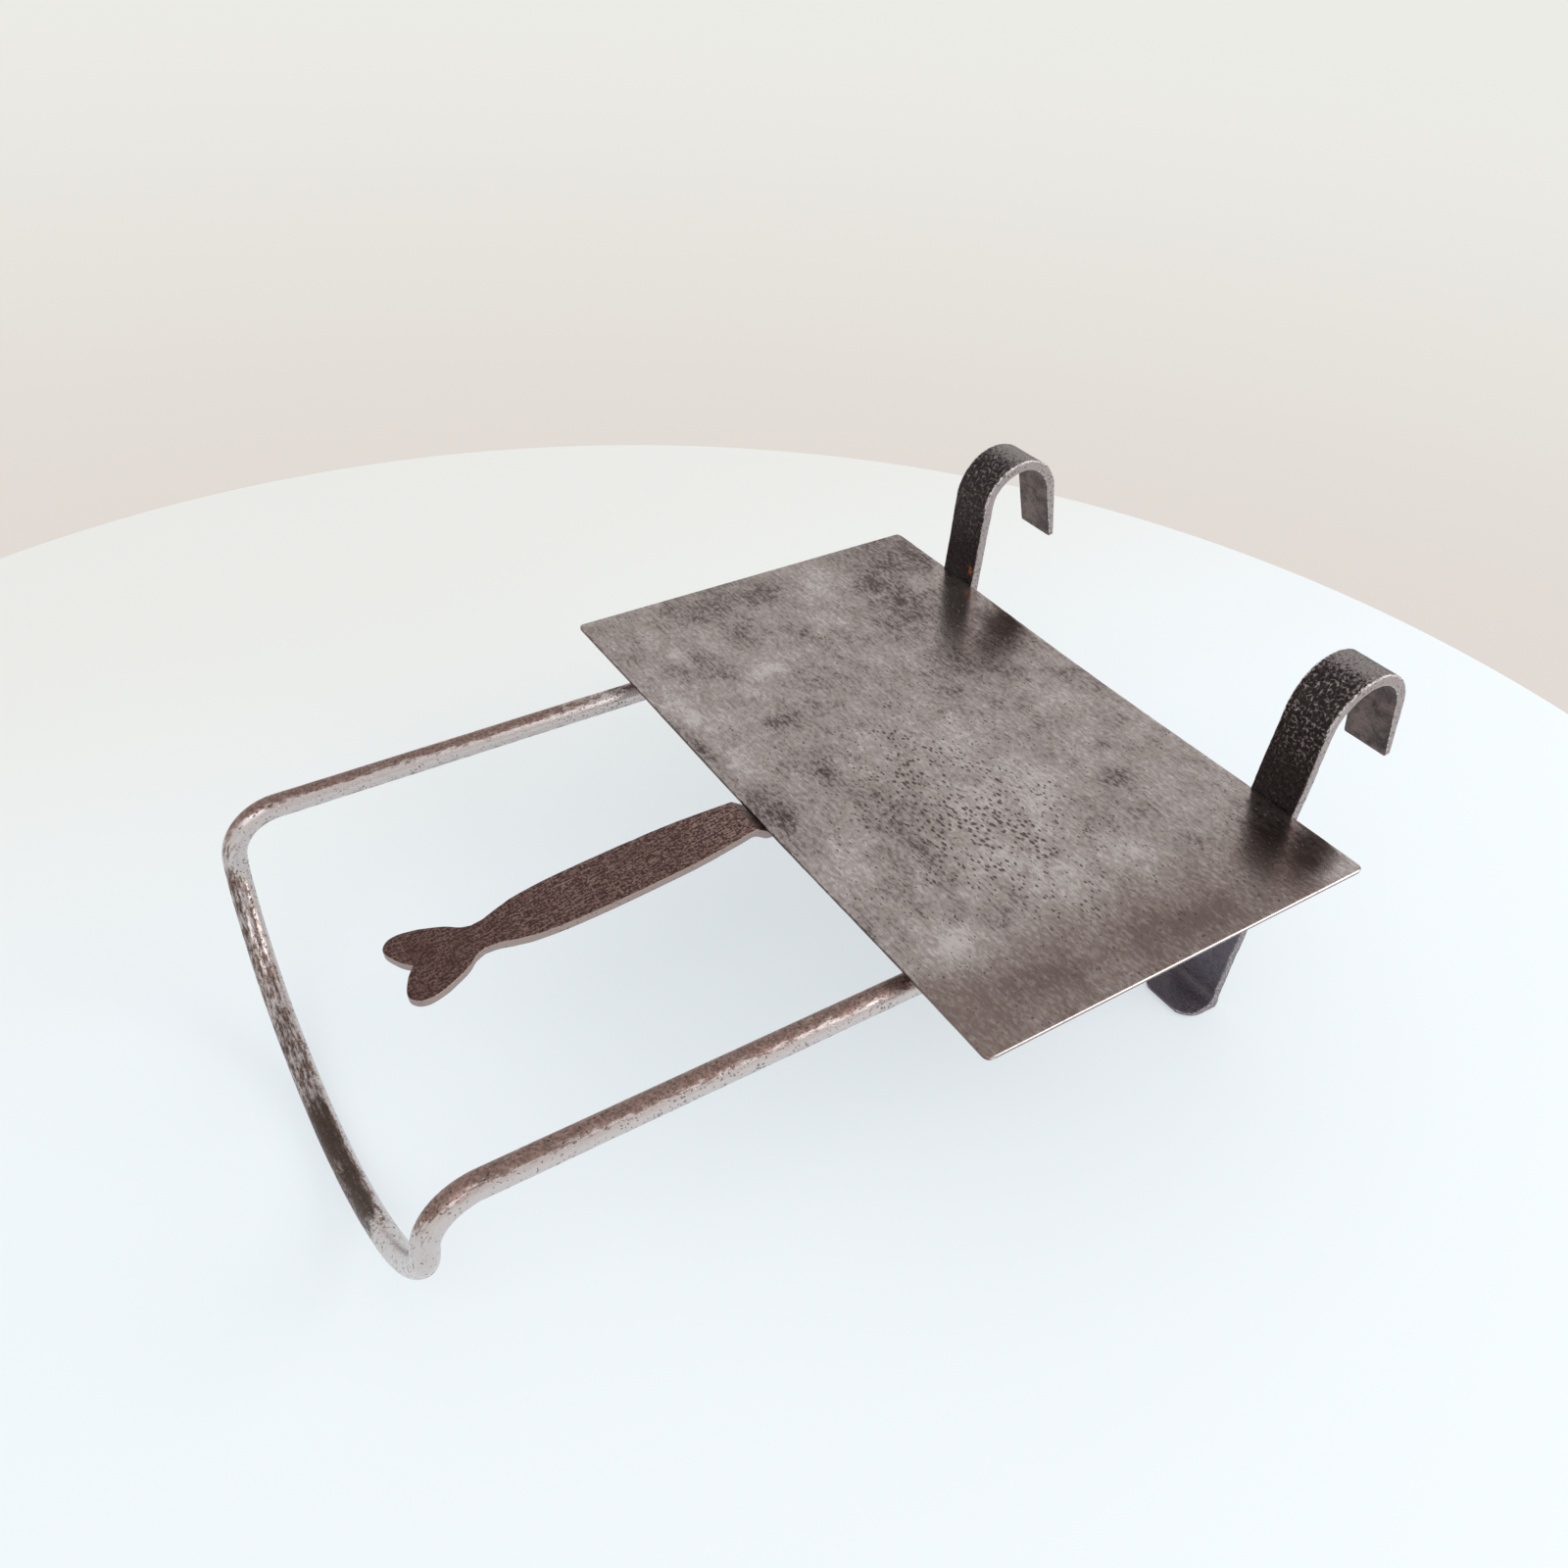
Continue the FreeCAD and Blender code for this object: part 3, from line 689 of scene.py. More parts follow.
def handle_finish():
    """Dark red-brown fibres drawn out along the grip, lighter where it is rubbed, with worn edges."""
    look = bpy.context.scene.hearth_finish
    steel = Finish("Red-brown handle steel", 0.7)
    edge, rubbed = steel.marks("edge", "rubbed")
    blotch = steel.mottle(110.0, 0.30, 0.72)
    grain = steel.mottle(1000.0, 0.38, 0.66)
    streaks = steel.streaks(1100.0, 220.0, 900.0)
    pits = steel.pitting(620.0, 0.46)
    fibres = (grain * 0.45 + streaks * 0.55).ramp(0.32, 0.72)
    base = steel.mix(fibres, toned(look.handle, 0.45), look.handle)
    base = steel.mix(fibres * (rubbed + blotch * 0.40), base, look.handle_light)
    base = steel.mix(pits * 0.7, base, toned(look.handle, 0.4))
    worn = steel.mix(pits * 0.8, look.handle_edge, look.handle)
    base = steel.mix((edge + (grain - 0.5) * 0.5).ramp(0.45, 0.75), base, worn)
    height = streaks * 0.5 - pits * 0.4
    return steel.finished(base, grain * 0.16 + 0.32, height, 0.08 * MM, 0.6)


def guide_finish(name):
    """Dark blotched steel with pits, rubbed bare along its edges."""
    look = bpy.context.scene.hearth_finish
    steel = Finish(name, 0.8)
    blotch = steel.mottle(140.0, 0.30, 0.72)
    grain = steel.mottle(650.0, 0.3, 0.75)
    pits = steel.pitting(520.0, 0.5)
    base = steel.mix(blotch, look.guide, toned(look.guide, 1.9))
    base = steel.mix(pits * 0.7, base, look.rod_dark)
    bare = steel.mark("edge") + (grain - 0.5) * 0.6
    base = steel.mix(bare.ramp(0.5, 0.9), base, look.edge)
    return steel.finished(base, grain * 0.2 + 0.38, grain - pits, 0.12 * MM, 0.7)


# ---- pieces -----------------------------------------------------------------------------------

def sag_at(x):
    """How far plate and guides have sunk at x: sag·(1 − (x / reach)²)², nothing past the rails."""
    plate, rod, _, _ = sizes()
    reach = rod.span / 2 + SAG_MARGIN
    return plate.sag * np.clip(1 - (np.asarray(x) / reach) ** 2, 0, 1) ** 2


# rubbed (+) and darkened (−) patches: x and y of the middle, spread along x and along y, all in mm
# in the plate's frame, and strength
PLATE_PATCHES = (
    (-55, 174, 11, 9, -0.34), (-102, 148, 24, 16, -0.17), (-136, 168, 26, 20, -0.18),
    (-134, 122, 13, 15, 0.16),
    (-107, 158, 5, 4, 0.18), (-112, 108, 26, 14, 0.08), (-137, 66, 8, 20, -0.16), (-105, 60, 10, 10, -0.14),
    (-103, 36, 6, 6, -0.16), (-77, 60, 6, 7, 0.14), (-64, 11, 11, 6, 0.16), (-106, 28, 8, 4, 0.14),
    (-94, 87, 6, 6, -0.14), (-1, 40, 18, 6, -0.18), (-42, 40, 4, 9, -0.18), (6, 9, 17, 8, -0.15),
    (-36, 3, 24, 3, -0.22), (-36, 130, 36, 22, -0.10), (-40, 86, 18, 12, -0.08), (58, 141, 5, 9, -0.26),
    (40, 151, 4, 3, -0.18), (97, 113, 15, 14, 0.16), (103, 22, 15, 11, 0.20), (49, 16, 16, 7, 0.12),
    (84, 72, 22, 14, 0.10), (20, 104, 36, 16, 0.05), (131, 34, 12, 30, -0.22), (137, 104, 12, 24, -0.26),
    (124, 166, 16, 12, -0.36), (104, 146, 10, 16, -0.10), (10, 160, 50, 14, 0.05), (34, 50, 34, 12, -0.05),
    (146, 172, 5, 12, 0.30), (-80, 132, 14, 12, -0.10), (-20, 14, 14, 5, 0.10), (62, 44, 22, 6, -0.10),
    (36, 88, 60, 44, 0.07), (-138, 96, 14, 46, -0.12), (-30, 168, 20, 14, -0.10),
)


def patches_at(x, y):
    """Sum of soft round patches, each strength·exp(−((x−x₀)/a)² − ((y−y₀)/b)²)."""
    total = 0.0 * x
    for px, py, a, b, strength in PLATE_PATCHES:
        total = total + strength * np.exp(-((x / MM - px) / a) ** 2 - ((y / MM - py) / b) ** 2)
    return total


class HEARTH_OT_plate(bpy.types.Operator):
    """The thin sliding plate: a softened rectangle that has sunk a little between its rails."""
    bl_idname = "hearth.plate"
    bl_label = "Plate"

    def execute(self, context):
        plate = context.scene.hearth_plate
        half = plate.long / 2
        # rows across the plate: close together at its softened ends, even between them
        fine = np.array([0, 0.08, 0.2, 0.4, 0.75, 1.2, 1.8, 2.5, 3.4, 4.6]) * MM
        even_from = 6.2 * MM
        rows = np.concatenate([fine, np.linspace(even_from, plate.long - even_from, 150),
                               plate.long - fine[::-1]])
        x = rows - half - plate.aside
        top = np.stack([x, -sag_at(x) - SKIN], -1)
        under = np.stack([x, -plate.thick - sag_at(x)], -1)
        width = plate.deep / 2 - rounded(np.minimum(rows, plate.long - rows), plate.corner)

        def relief(point, across, ahead):
            dents = cloud(point, 34 * MM, 2) - 0.5
            ripple = field(point * [1, 0.5, 1], 7 * MM, 5) - 0.5
            edge_wave = field(point, 5 * MM, 8) * np.abs(across)
            return -np.abs(dents * 0.18 + ripple * 0.03) * MM * np.abs(ahead) - 0.22 * MM * edge_wave

        section = bar_section(92, 3, 0.45 * MM)
        grid, unbent = flat_bar(top, under, *plan_rows(rows, width), section, relief)
        y = grid[..., 0] + plate.deep / 2
        points = np.stack([grid[..., 1], y, grid[..., 2]], -1)
        flat = np.stack([points[..., 0], y, unbent[..., 2]], -1)
        px, py = points[..., 0] / MM, y / MM
        # brown at the right end, the front right corner, the left end and beside the left strap; mm
        brown = 0.75 * smooth(104, 122, px + 6 * cloud(flat, 20 * MM, 7)) * smooth(183, 150, py)
        brown = brown + 0.3 * smooth(60, 130, px) * smooth(30, 0, py) + 0.25 * smooth(-120, -150, px)
        brown = brown + 0.6 * np.exp(-((px + 55) / 13) ** 2 - ((py - 174) / 10) ** 2)
        pitted = 0.40 + 0.44 * np.exp(-((px - 46) / 58) ** 2 - ((py - 74) / 40) ** 2)
        across = section[4][None, :]
        # painted shade on the front edge face, and painted light on the back and end faces through the edge
        # mark
        front, back = np.minimum(across, 0) ** 2, np.maximum(across, 0) ** 2
        ends = smooth(half - 0.7 * MM, half - 0.2 * MM, np.abs(points[..., 0] + plate.aside))
        marks = {"unbent": flat, "stain_and_shade": patches_at(points[..., 0], y) - 0.4 * front,
                 "brown": np.clip(brown, 0, 1), "pitted": pitted, "edge": back + ends}
        add_piece("sliding_plate", [to_row(points)], [marks], plate_finish(), "slide",
                  ["top_plate"])
        return {"FINISHED"}


def turned(vectors, axis, angles):
    """Vectors turned about axis by each angle: v·cos + (axis × v)·sin + axis·(axis·v)·(1 − cos)."""
    c, s = np.cos(angles)[:, None], np.sin(angles)[:, None]
    return vectors * c + np.cross(axis, vectors) * s + axis * (axis @ vectors) * (1 - c)


class RodPath:
    """Rows along a bent rod, each with its centre and two directions across the rod."""

    def __init__(self, start, heading, across):
        self.at, self.heading = np.array(start, float), np.array(heading, float)
        self.across = np.array(across, float)
        self.rows = []

    def add(self, centres, headings, across):
        self.rows.append((centres, headings, across))

    def straight(self, size):
        t = np.linspace(0, size, rows_for(size), endpoint=False)[:, None]
        one = np.ones_like(t)
        self.add(self.at + self.heading * t, self.heading * one, self.across * one)
        self.at = self.at + self.heading * size

    def bend(self, towards, radius, turn):
        towards = np.array(towards, float)
        side = towards - self.heading * (towards @ self.heading)
        side /= np.linalg.norm(side)
        axis = np.cross(self.heading, side)
        centre = self.at + side * radius
        a = np.linspace(0, turn, rows_for(radius * turn), endpoint=False)
        self.add(centre + turned(self.at - centre, axis, a), turned(self.heading, axis, a),
                 turned(self.across, axis, a))
        end = np.array([turn])
        self.at = centre + turned(self.at - centre, axis, end)[0]
        self.heading = turned(self.heading, axis, end)[0]
        self.across = turned(self.across, axis, end)[0]

    def arrays(self):
        return [np.concatenate(x) for x in zip(*self.rows)]


def bow_arcs(rod, tangent):
    """Radii of the belly and the flanks that close the bow between its two shoulders."""
    s1, c1, s2, c2 = math.sin(rod.belly), math.cos(rod.belly), math.sin(rod.flank), math.cos(rod.flank)
    x = rod.span / 2 - rod.shoulder * (1 - s2)
    w = rod.depth / math.cos(rod.lean) - tangent - rod.shoulder * c2
    det = s1 * (c1 - c2) - (s2 - s1) * (1 - c1)
    return (x * (c1 - c2) - (s2 - s1) * w) / det, (s1 * w - (1 - c1) * x) / det


def tenon_rows(rod, strap, side):
    """Offsets along the rail behind the strap's face, and ring radii, of a tenon and its head.

    The head is a cap of a sphere: radius ρ = head·cos a at height h·sin a for a from 0 to 90°.
    """
    lean = strap.left_lean if side < 0 else strap.right_lean
    thick = strap.thick / math.cos(lean)
    a = np.linspace(0, math.pi / 2, 9)
    back = np.concatenate([[0, 0, thick, thick], thick + rod.head_high * np.sin(a[1:])])
    ring = np.concatenate([[rod.rod, rod.tenon, rod.tenon, rod.head], rod.head * np.cos(a[1:])]) / 2
    return back, ring, math.tan(lean)


class HEARTH_OT_rail_bow(bpy.types.Operator):
    """The round rod: two rails and the deep bow between them, tenoned and peened at both ends."""
    bl_idname = "hearth.rail_bow"
    bl_label = "Rail bow"

    def execute(self, context):
        plate, rod, strap, _ = sizes()
        turn = math.pi / 2 - rod.lean
        tangent = rod.corner * math.tan(turn / 2)
        belly, flank = bow_arcs(rod, tangent)
        face = plate.deep + strap.gap
        up = np.array([0, math.sin(rod.lean), math.cos(rod.lean)])
        starts = {side: face - rod.drop * math.tan(lean)
                  for side, lean in ((-1, strap.left_lean), (1, strap.right_lean))}
        path = RodPath((rod.span / 2, starts[1], -rod.drop), (0, -1, 0), (1, 0, 0))
        path.straight(starts[1] + rod.reach - tangent)
        path.bend(-up, rod.corner, turn)
        path.bend((-1, 0, 0), rod.shoulder, math.pi / 2 - rod.flank)
        path.bend((-1, 0, 0), flank, rod.flank - rod.belly)
        path.bend(up, belly, 2 * rod.belly)
        path.bend(up, flank, rod.flank - rod.belly)
        path.bend(up, rod.shoulder, math.pi / 2 - rod.flank)
        path.bend((0, 1, 0), rod.corner, turn)
        path.straight(starts[-1] + rod.reach - tangent)
        path.add(path.at[None], path.heading[None], path.across[None])
        centres, headings, across = path.arrays()
        s = distances(centres)
        other = np.cross(headings, across)
        theta = np.linspace(0, 2 * math.pi, 48, endpoint=False)
        c, k = np.cos(theta)[None, :, None], np.sin(theta)[None, :, None]
        out = across[:, None] * c + other[:, None] * k
        radius = rod.rod / 2
        unbent = np.stack(np.broadcast_arrays(radius * c[..., 0], s[:, None], radius * k[..., 0]), -1)
        pits = smooth(0.60, 0.85, field(unbent, 1.5 * MM, 3)) * smooth(0.35, 0.7, field(unbent, 12 * MM, 4))
        relief = -0.10 * MM * cloud(unbent, 24 * MM, 1) - 0.05 * MM * pits
        ring = radius + relief
        body = centres[:, None] + out * ring[..., None]
        in_bow = smooth(rod.reach - 4 * MM, rod.reach + 4 * MM, -centres[:, None, 1] + 0 * ring)
        x = centres[:, None, 0] + 0 * ring

        def towards(low, high, *way):
            """0 to 1 as the rod's surface turns to face that way."""
            return smooth(low, high, out @ np.array(way))

        on_top = towards(-0.20, 0.80, -0.50, 0.0, 0.87)
        facing = towards(-0.15, 0.65, 0.10, -0.50, 0.86)
        wear = cloud(unbent, 26 * MM, 9)
        near_plate = smooth(-45 * MM, -10 * MM, centres[:, None, 1]) * (x < 0)
        # painted shade: patina on the underside of the rails darkens their lower side
        below = towards(0.40, 1.0, 0.35, 0.0, -0.94)
        patina = (on_top * (1 - 0.5 * near_plate) + 0.55 * below) * (1 - in_bow)
        patina = patina + in_bow * (0.50 + 0.40 * smooth(0.38, 0.60, wear)) * facing
        low = smooth(50 * MM, 66 * MM, x)
        patina = patina * (1 - 0.7 * low * in_bow)
        patches = smooth(0.36, 0.60, cloud(unbent * [1, 0.22, 1], 5 * MM, 6))
        core = towards(0.10, 0.75, 0.20, -0.45, 0.87)
        rightwards = smooth(-80 * MM, 10 * MM, x)
        scale = in_bow * (0.66 + 0.34 * patches) * core * (0.55 + 0.30 * rightwards) * (1 - low)
        # a dark band on top of the rails, just in front of the plate
        band = smooth(12 * MM, -4 * MM, np.abs(body[..., 1] + 4 * MM))
        scale = np.maximum(scale, 0.7 * band * on_top)
        # tenons and heads, joined on to the two ends of the rod as more rows of the same grid
        grids = []
        for side, index in ((1, 0), (-1, -1)):
            back, rings, slope = tenon_rows(rod, strap, side)
            middle = centres[index] + np.array([0, 1, 0]) * back[:, None]
            offset = out[index][None] * rings[:, None, None]
            rows = middle[:, None] + offset
            rows[..., 1] += slope * offset[..., 2]
            grids.append(rows)
        first, last = grids[0][::-1], grids[1]
        near = np.linspace(0, 1, 9)[:, None, None]
        # shear the rod's own last rows until they lie flat on the leaning straps
        for end, rows, weight in ((grids[0][0], slice(0, 9), 1 - near), (grids[1][0], slice(-9, None), near)):
            target = end[None, :, 1] - end[None, :, 1].mean()
            body[rows, :, 1] += weight[..., 0] * target
        whole = np.concatenate([first[:-1], body, last[1:]])
        counts = (len(first) - 1, len(last) - 1)

        def pad(values, before, after):
            """The values with the first and the last row repeated on the tenons."""
            return np.concatenate([np.repeat(values[:1], before, 0), values,
                                   np.repeat(values[-1:], after, 0)])

        flat = pad(unbent, *counts)
        flat[:counts[0], :, 1] = -whole[0, 0, 1] + whole[:counts[0], :, 1]
        marks = {"unbent": flat, "patina": pad(patina, *counts), "scale": pad(scale, *counts)}
        add_piece("bent_rod", [to_row(whole)], [marks], rod_finish(), "frame", ["rail_bow"])
        return {"FINISHED"}


def strap_curves(strap, plate, side):
    """Front and back curves of a strap, from the tip of its toe to the tip of its tail."""
    sized = "left_" if side < 0 else "right_"
    lean, start, radius, flare, tail = (getattr(strap, sized + size)
                                        for size in ("lean", "start", "hook", "flare", "tail"))
    slope = math.tan(TILT)
    forward = np.array([-math.cos(TILT), math.sin(TILT)])
    floor_up = np.array([math.sin(TILT), math.cos(TILT)])
    face = plate.deep + strap.gap
    # the floor is drawn through the right heel, which fixes how long both legs are
    heel_y = face - strap.drop * math.tan(strap.right_lean) + strap.thick / math.cos(strap.right_lean)
    up, back = np.array([math.sin(lean), math.cos(lean)]), np.array([math.cos(lean), -math.sin(lean)])
    foot = np.array([face, 0.0])
    behind = foot + back * strap.thick
    k = (-strap.drop - (behind[0] - heel_y) * slope - behind[1]) / (up[1] + up[0] * slope)
    heel = behind + up * k
    toe_low = heel + forward * strap.toe
    toe_high = toe_low + floor_up * strap.toe_tip
    inner_low = heel + floor_up * strap.thick
    top = toe_high - (inner_low + forward * strap.thick)
    top /= np.linalg.norm(top)
    tan = math.tan(lean)
    a = (inner_low[0] - foot[0] - tan * (inner_low[1] - foot[1])) / (tan * top[1] - top[0])
    inner = inner_low + top * a
    front_top = foot + up * start
    centre = front_top + back * radius
    thin = radius - strap.thick
    turn = math.pi - lean - flare
    end = np.array([math.cos(flare), math.sin(flare)])
    down = np.array([math.sin(flare), -math.cos(flare)])
    out_end, in_end = centre + end * radius, centre + end * thin
    tip_out = out_end + down * tail
    tip_in = tip_out - end * strap.tail_tip
    back_top = centre - back * thin
    fc, f1, f2, ft = fillet(inner, toe_high, front_top, 5.0 * MM)
    bc, b1, b2, bt = fillet(heel, toe_low, back_top, 2.6 * MM)
    stretches = [both((toe_high, f1), (toe_low, b1)), both((fc, f1), (bc, b1), ft, bt),
                 both((f2, front_top), (b2, back_top)),
                 both((centre, front_top), (centre, back_top), -turn, -turn),
                 both((out_end, tip_out), (in_end, tip_in))]
    return [refined(curve) for curve in bar_curves(stretches, tip_out, tip_in)]


class HEARTH_OT_hook_straps(bpy.types.Operator):
    """The two hammered straps: splayed toe, leg and hook, swept from toe to tail."""
    bl_idname = "hearth.hook_straps"
    bl_label = "Hook straps"

    def execute(self, context):
        plate, rod, strap, _ = sizes()
        finish = strap_finish()
        section = bar_section(44, 7, 0.7 * MM)
        across = section[4][None, :]
        ahead = section[5][None, :]
        for side, name in ((-1, "left"), (1, "right")):
            front, back = strap_curves(strap, plate, side)
            s = along_bar(front, back)
            half = strap.wide / 2
            flared = 1 - smooth(15 * MM, 23 * MM, s)
            end_round = rounded(s[-1] - s, 1.6 * MM)
            wave = 0.35 * MM * field(np.stack([0 * s, s, 0 * s], -1), 13 * MM, 20 + side)
            outer = half + strap.toe_out * flared - rounded(s, 9.0 * MM) - end_round - wave * (1 - flared)
            inner = half + strap.toe_in * flared - rounded(s, 7.0 * MM) - end_round - wave * (1 - flared)
            right, left = (outer, inner) if side > 0 else (inner, outer)
            # distances from the toe: leg is level with the plate's top, hook_top is the hook's highest row
            leg = float(np.interp(0.0, front[:len(front) // 2, 1], s[:len(front) // 2]))
            hook_top = s[int(np.argmax(front[:, 1]))]
            rough = smooth(leg + 14 * MM, leg + 34 * MM, s) * smooth(hook_top + 14 * MM, hook_top - 6 * MM, s)
            rough = rough * (1.0 if side > 0 else 0.35) + 0.12

            def relief(point, over, forward, side=side, rough=rough):
                crust = smooth(0.46, 0.78, field(point, 1.25 * MM, 31 + side))
                lumps = smooth(0.42, 0.72, field(point, 2.6 * MM, 33 + side))
                blows = cloud(point, 9 * MM, 35 + side)
                broad = np.abs(forward) * (0.20 * blows + rough[:, None] * (0.22 * crust + 0.16 * lumps))
                thin = np.abs(over) * (0.22 * field(point, 2.2 * MM, 37) + 0.30 * field(point, 7 * MM, 39))
                return -(broad + thin) * MM

            grid, unbent = flat_bar(front, back, *plan_rows(s, right, left), section, relief)
            middle = side * rod.span / 2 + (strap.left_aside if side < 0 else 0.0)
            points = grid + [middle, 0, 0]
            # where each finish shows, from the distance along and across the unbent strap
            along, aside = unbent[..., 1], unbent[..., 0]
            thin = smooth(0.35, 0.8, np.abs(across) + 0 * along)
            hook = smooth(hook_top - 26 * MM, hook_top - 6 * MM, along)
            spot = ((aside - 8.2 * MM) / (2.4 * MM)) ** 2 + ((along - leg - 6.5 * MM) / (3.4 * MM)) ** 2
            tail = smooth(hook_top, hook_top + 20 * MM, along)
            # painted reflection: the outer face round the top of each hook's arch is painted paler, as though
            # it mirrored the bright room overhead
            arch_top_sheen = np.exp(-((along - hook_top - 1 * MM) / (9 * MM)) ** 2) * (ahead > 0)
            corner = smooth(0.60, 0.95, 2 * np.abs(across * ahead) + 0 * along)
            corner = np.maximum(corner, 0.8 * smooth(0.92, 0.99, np.abs(section[0]))[None, :] * (ahead > 0))
            # painted light: the feet are also made lighter for light bounced up from the table
            foot = smooth(leg - 30 * MM, leg - 62 * MM, along)
            marks = {"unbent": unbent, "edge": thin * (1 - 0.3 * foot), "worn": arch_top_sheen * 0.85, "foot": foot,
                     "rim": corner * (0.40 + 0.60 * smooth(leg + 20 * MM, leg + 45 * MM, along)),
                     "inner": np.clip(smooth(0.0, -0.7, ahead + 0 * along) * hook + 0.25 * tail, 0, 1),
                     "crust": np.clip(rough[:, None] * (ahead > 0) + 0.35 * hook, 0, 1),
                     "rust": np.exp(-spot) * (ahead > 0) * (side < 0)}
            add_piece("forged_strap_" + name, [to_row(points)], [marks], finish, "frame",
                      ["hook_strap_" + name])
        return {"FINISHED"}


class HEARTH_OT_guides(bpy.types.Operator):
    """The two flat bars under the plate, whose ends curl round the rails."""
    bl_idname = "hearth.guides"
    bl_label = "Guide bars"

    def execute(self, context):
        plate, rod, _, _ = sizes()
        finish = guide_finish("Dark guide steel")
        inner = rod.drop - plate.thick - plate.guide_thick
        outer = inner + plate.guide_thick
        curl = plate.guide_curl
        x = rod.span / 2
        first = np.array([-math.sin(curl), math.cos(curl)])
        left, right = np.array([-x, -rod.drop]), np.array([x, -rod.drop])
        over = np.array([0.0, 1.0])
        pieces = [both((left, left + first * outer), (left, left + first * inner), -curl, -curl),
                  both((left + over * outer, right + over * outer),
                       (left + over * inner, right + over * inner)),
                  both((right, right + over * outer), (right, right + over * inner), -curl, -curl)]
        last = first * [-1, 1]
        front, back = bar_curves(pieces, right + last * outer, right + last * inner)
        for curve in (front, back):
            curve[:, 1] -= sag_at(curve[:, 0]) + SKIN
        front, back = refined(front), refined(back)
        s = along_bar(front, back)
        half = plate.guide_wide / 2 - rounded(np.minimum(s, s[-1] - s), 1.5 * MM)
        section = bar_section(22, 4, 0.5 * MM)

        def relief(point, across, ahead):
            nicks = 0.08 * np.abs(across) * field(point, 3 * MM, 42)
            return -(0.12 * cloud(point, 8 * MM, 41) + nicks) * MM

        grid, unbent = flat_bar(front, back, *plan_rows(s, half), section, relief)
        rear = plate.deep - plate.guide_back - plate.guide_wide
        for name, start in (("front", plate.guide_front), ("rear", rear)):
            points = np.stack([grid[..., 1], start + plate.guide_wide / 2 + grid[..., 0], grid[..., 2]], -1)
            edge = np.abs(section[4])[None, :] + 0 * points[..., 0]
            marks = {"unbent": unbent + [0, start, 0], "edge": edge}
            add_piece("guide_" + name, [to_row(points)], [marks], finish, "slide",
                      ["guide_bar_" + name])
        return {"FINISHED"}


def smooth_through(points, count):
    """Catmull-Rom curve through the points, count rows to each stretch."""
    p = np.asarray(points, float)
    p = np.concatenate([2 * p[:1] - p[1:2], p, 2 * p[-1:] - p[-2:-1]])
    t = np.linspace(0, 1, count, endpoint=False)[:, None]
    a, b, c, d = (p[i:len(p) - 3 + i, None] for i in range(4))
    curve = 0.5 * (2 * b + (c - a) * t + (2 * a - 5 * b + 4 * c - d) * t ** 2
                   + (3 * b - a - 3 * c + d) * t ** 3)
    return np.concatenate([curve.reshape(-1, 2), p[-2:-1]])


def even(curve, step):
    """The same curve with rows a step apart."""
    s = distances(curve)
    t = np.linspace(0, s[-1], int(math.ceil(s[-1] / step)) + 1)
    return np.stack([np.interp(t, s, curve[:, k]) for k in (0, 1)], -1)


def handle_side(handle):
    """Right half of the grip and tail as (distance from the root, half width) rows to the notch.

    swell, narrow and flare give the share of the length and the share of the width at each point.
    """
    root, wide, neck = handle.root / 2, handle.widest / 2, handle.neck / 2
    tail, n = handle.tail_wide / 2, handle.grip
    swell = ((0.20, 0.74), (0.42, 1.0), (0.67, 0.985))
    narrow = ((0.82, 0.78), (0.90, 0.44), (0.955, 0.12))
    flare = ((0.13, 0.47), (0.26, 0.66), (0.45, 0.835), (0.61, 0.943), (0.80, 1.0), (0.935, 0.92))
    grip = [(0.0, root)] + [(s * n, root + f * (wide - root)) for s, f in swell]
    grip += [(s * n, neck + f * (wide - neck)) for s, f in narrow] + [(n, neck)]
    end = n + handle.tail
    lobe = [(n, neck)] + [(n + s * handle.tail, f * tail) for s, f in flare]
    lobe += [(end, 0.68 * tail), (end - 0.45 * handle.notch, 0.26 * tail), (end - handle.notch, 0.0)]
    return np.concatenate([even(smooth_through(grip, 12), STEP)[:-1], even(smooth_through(lobe, 12), STEP)])


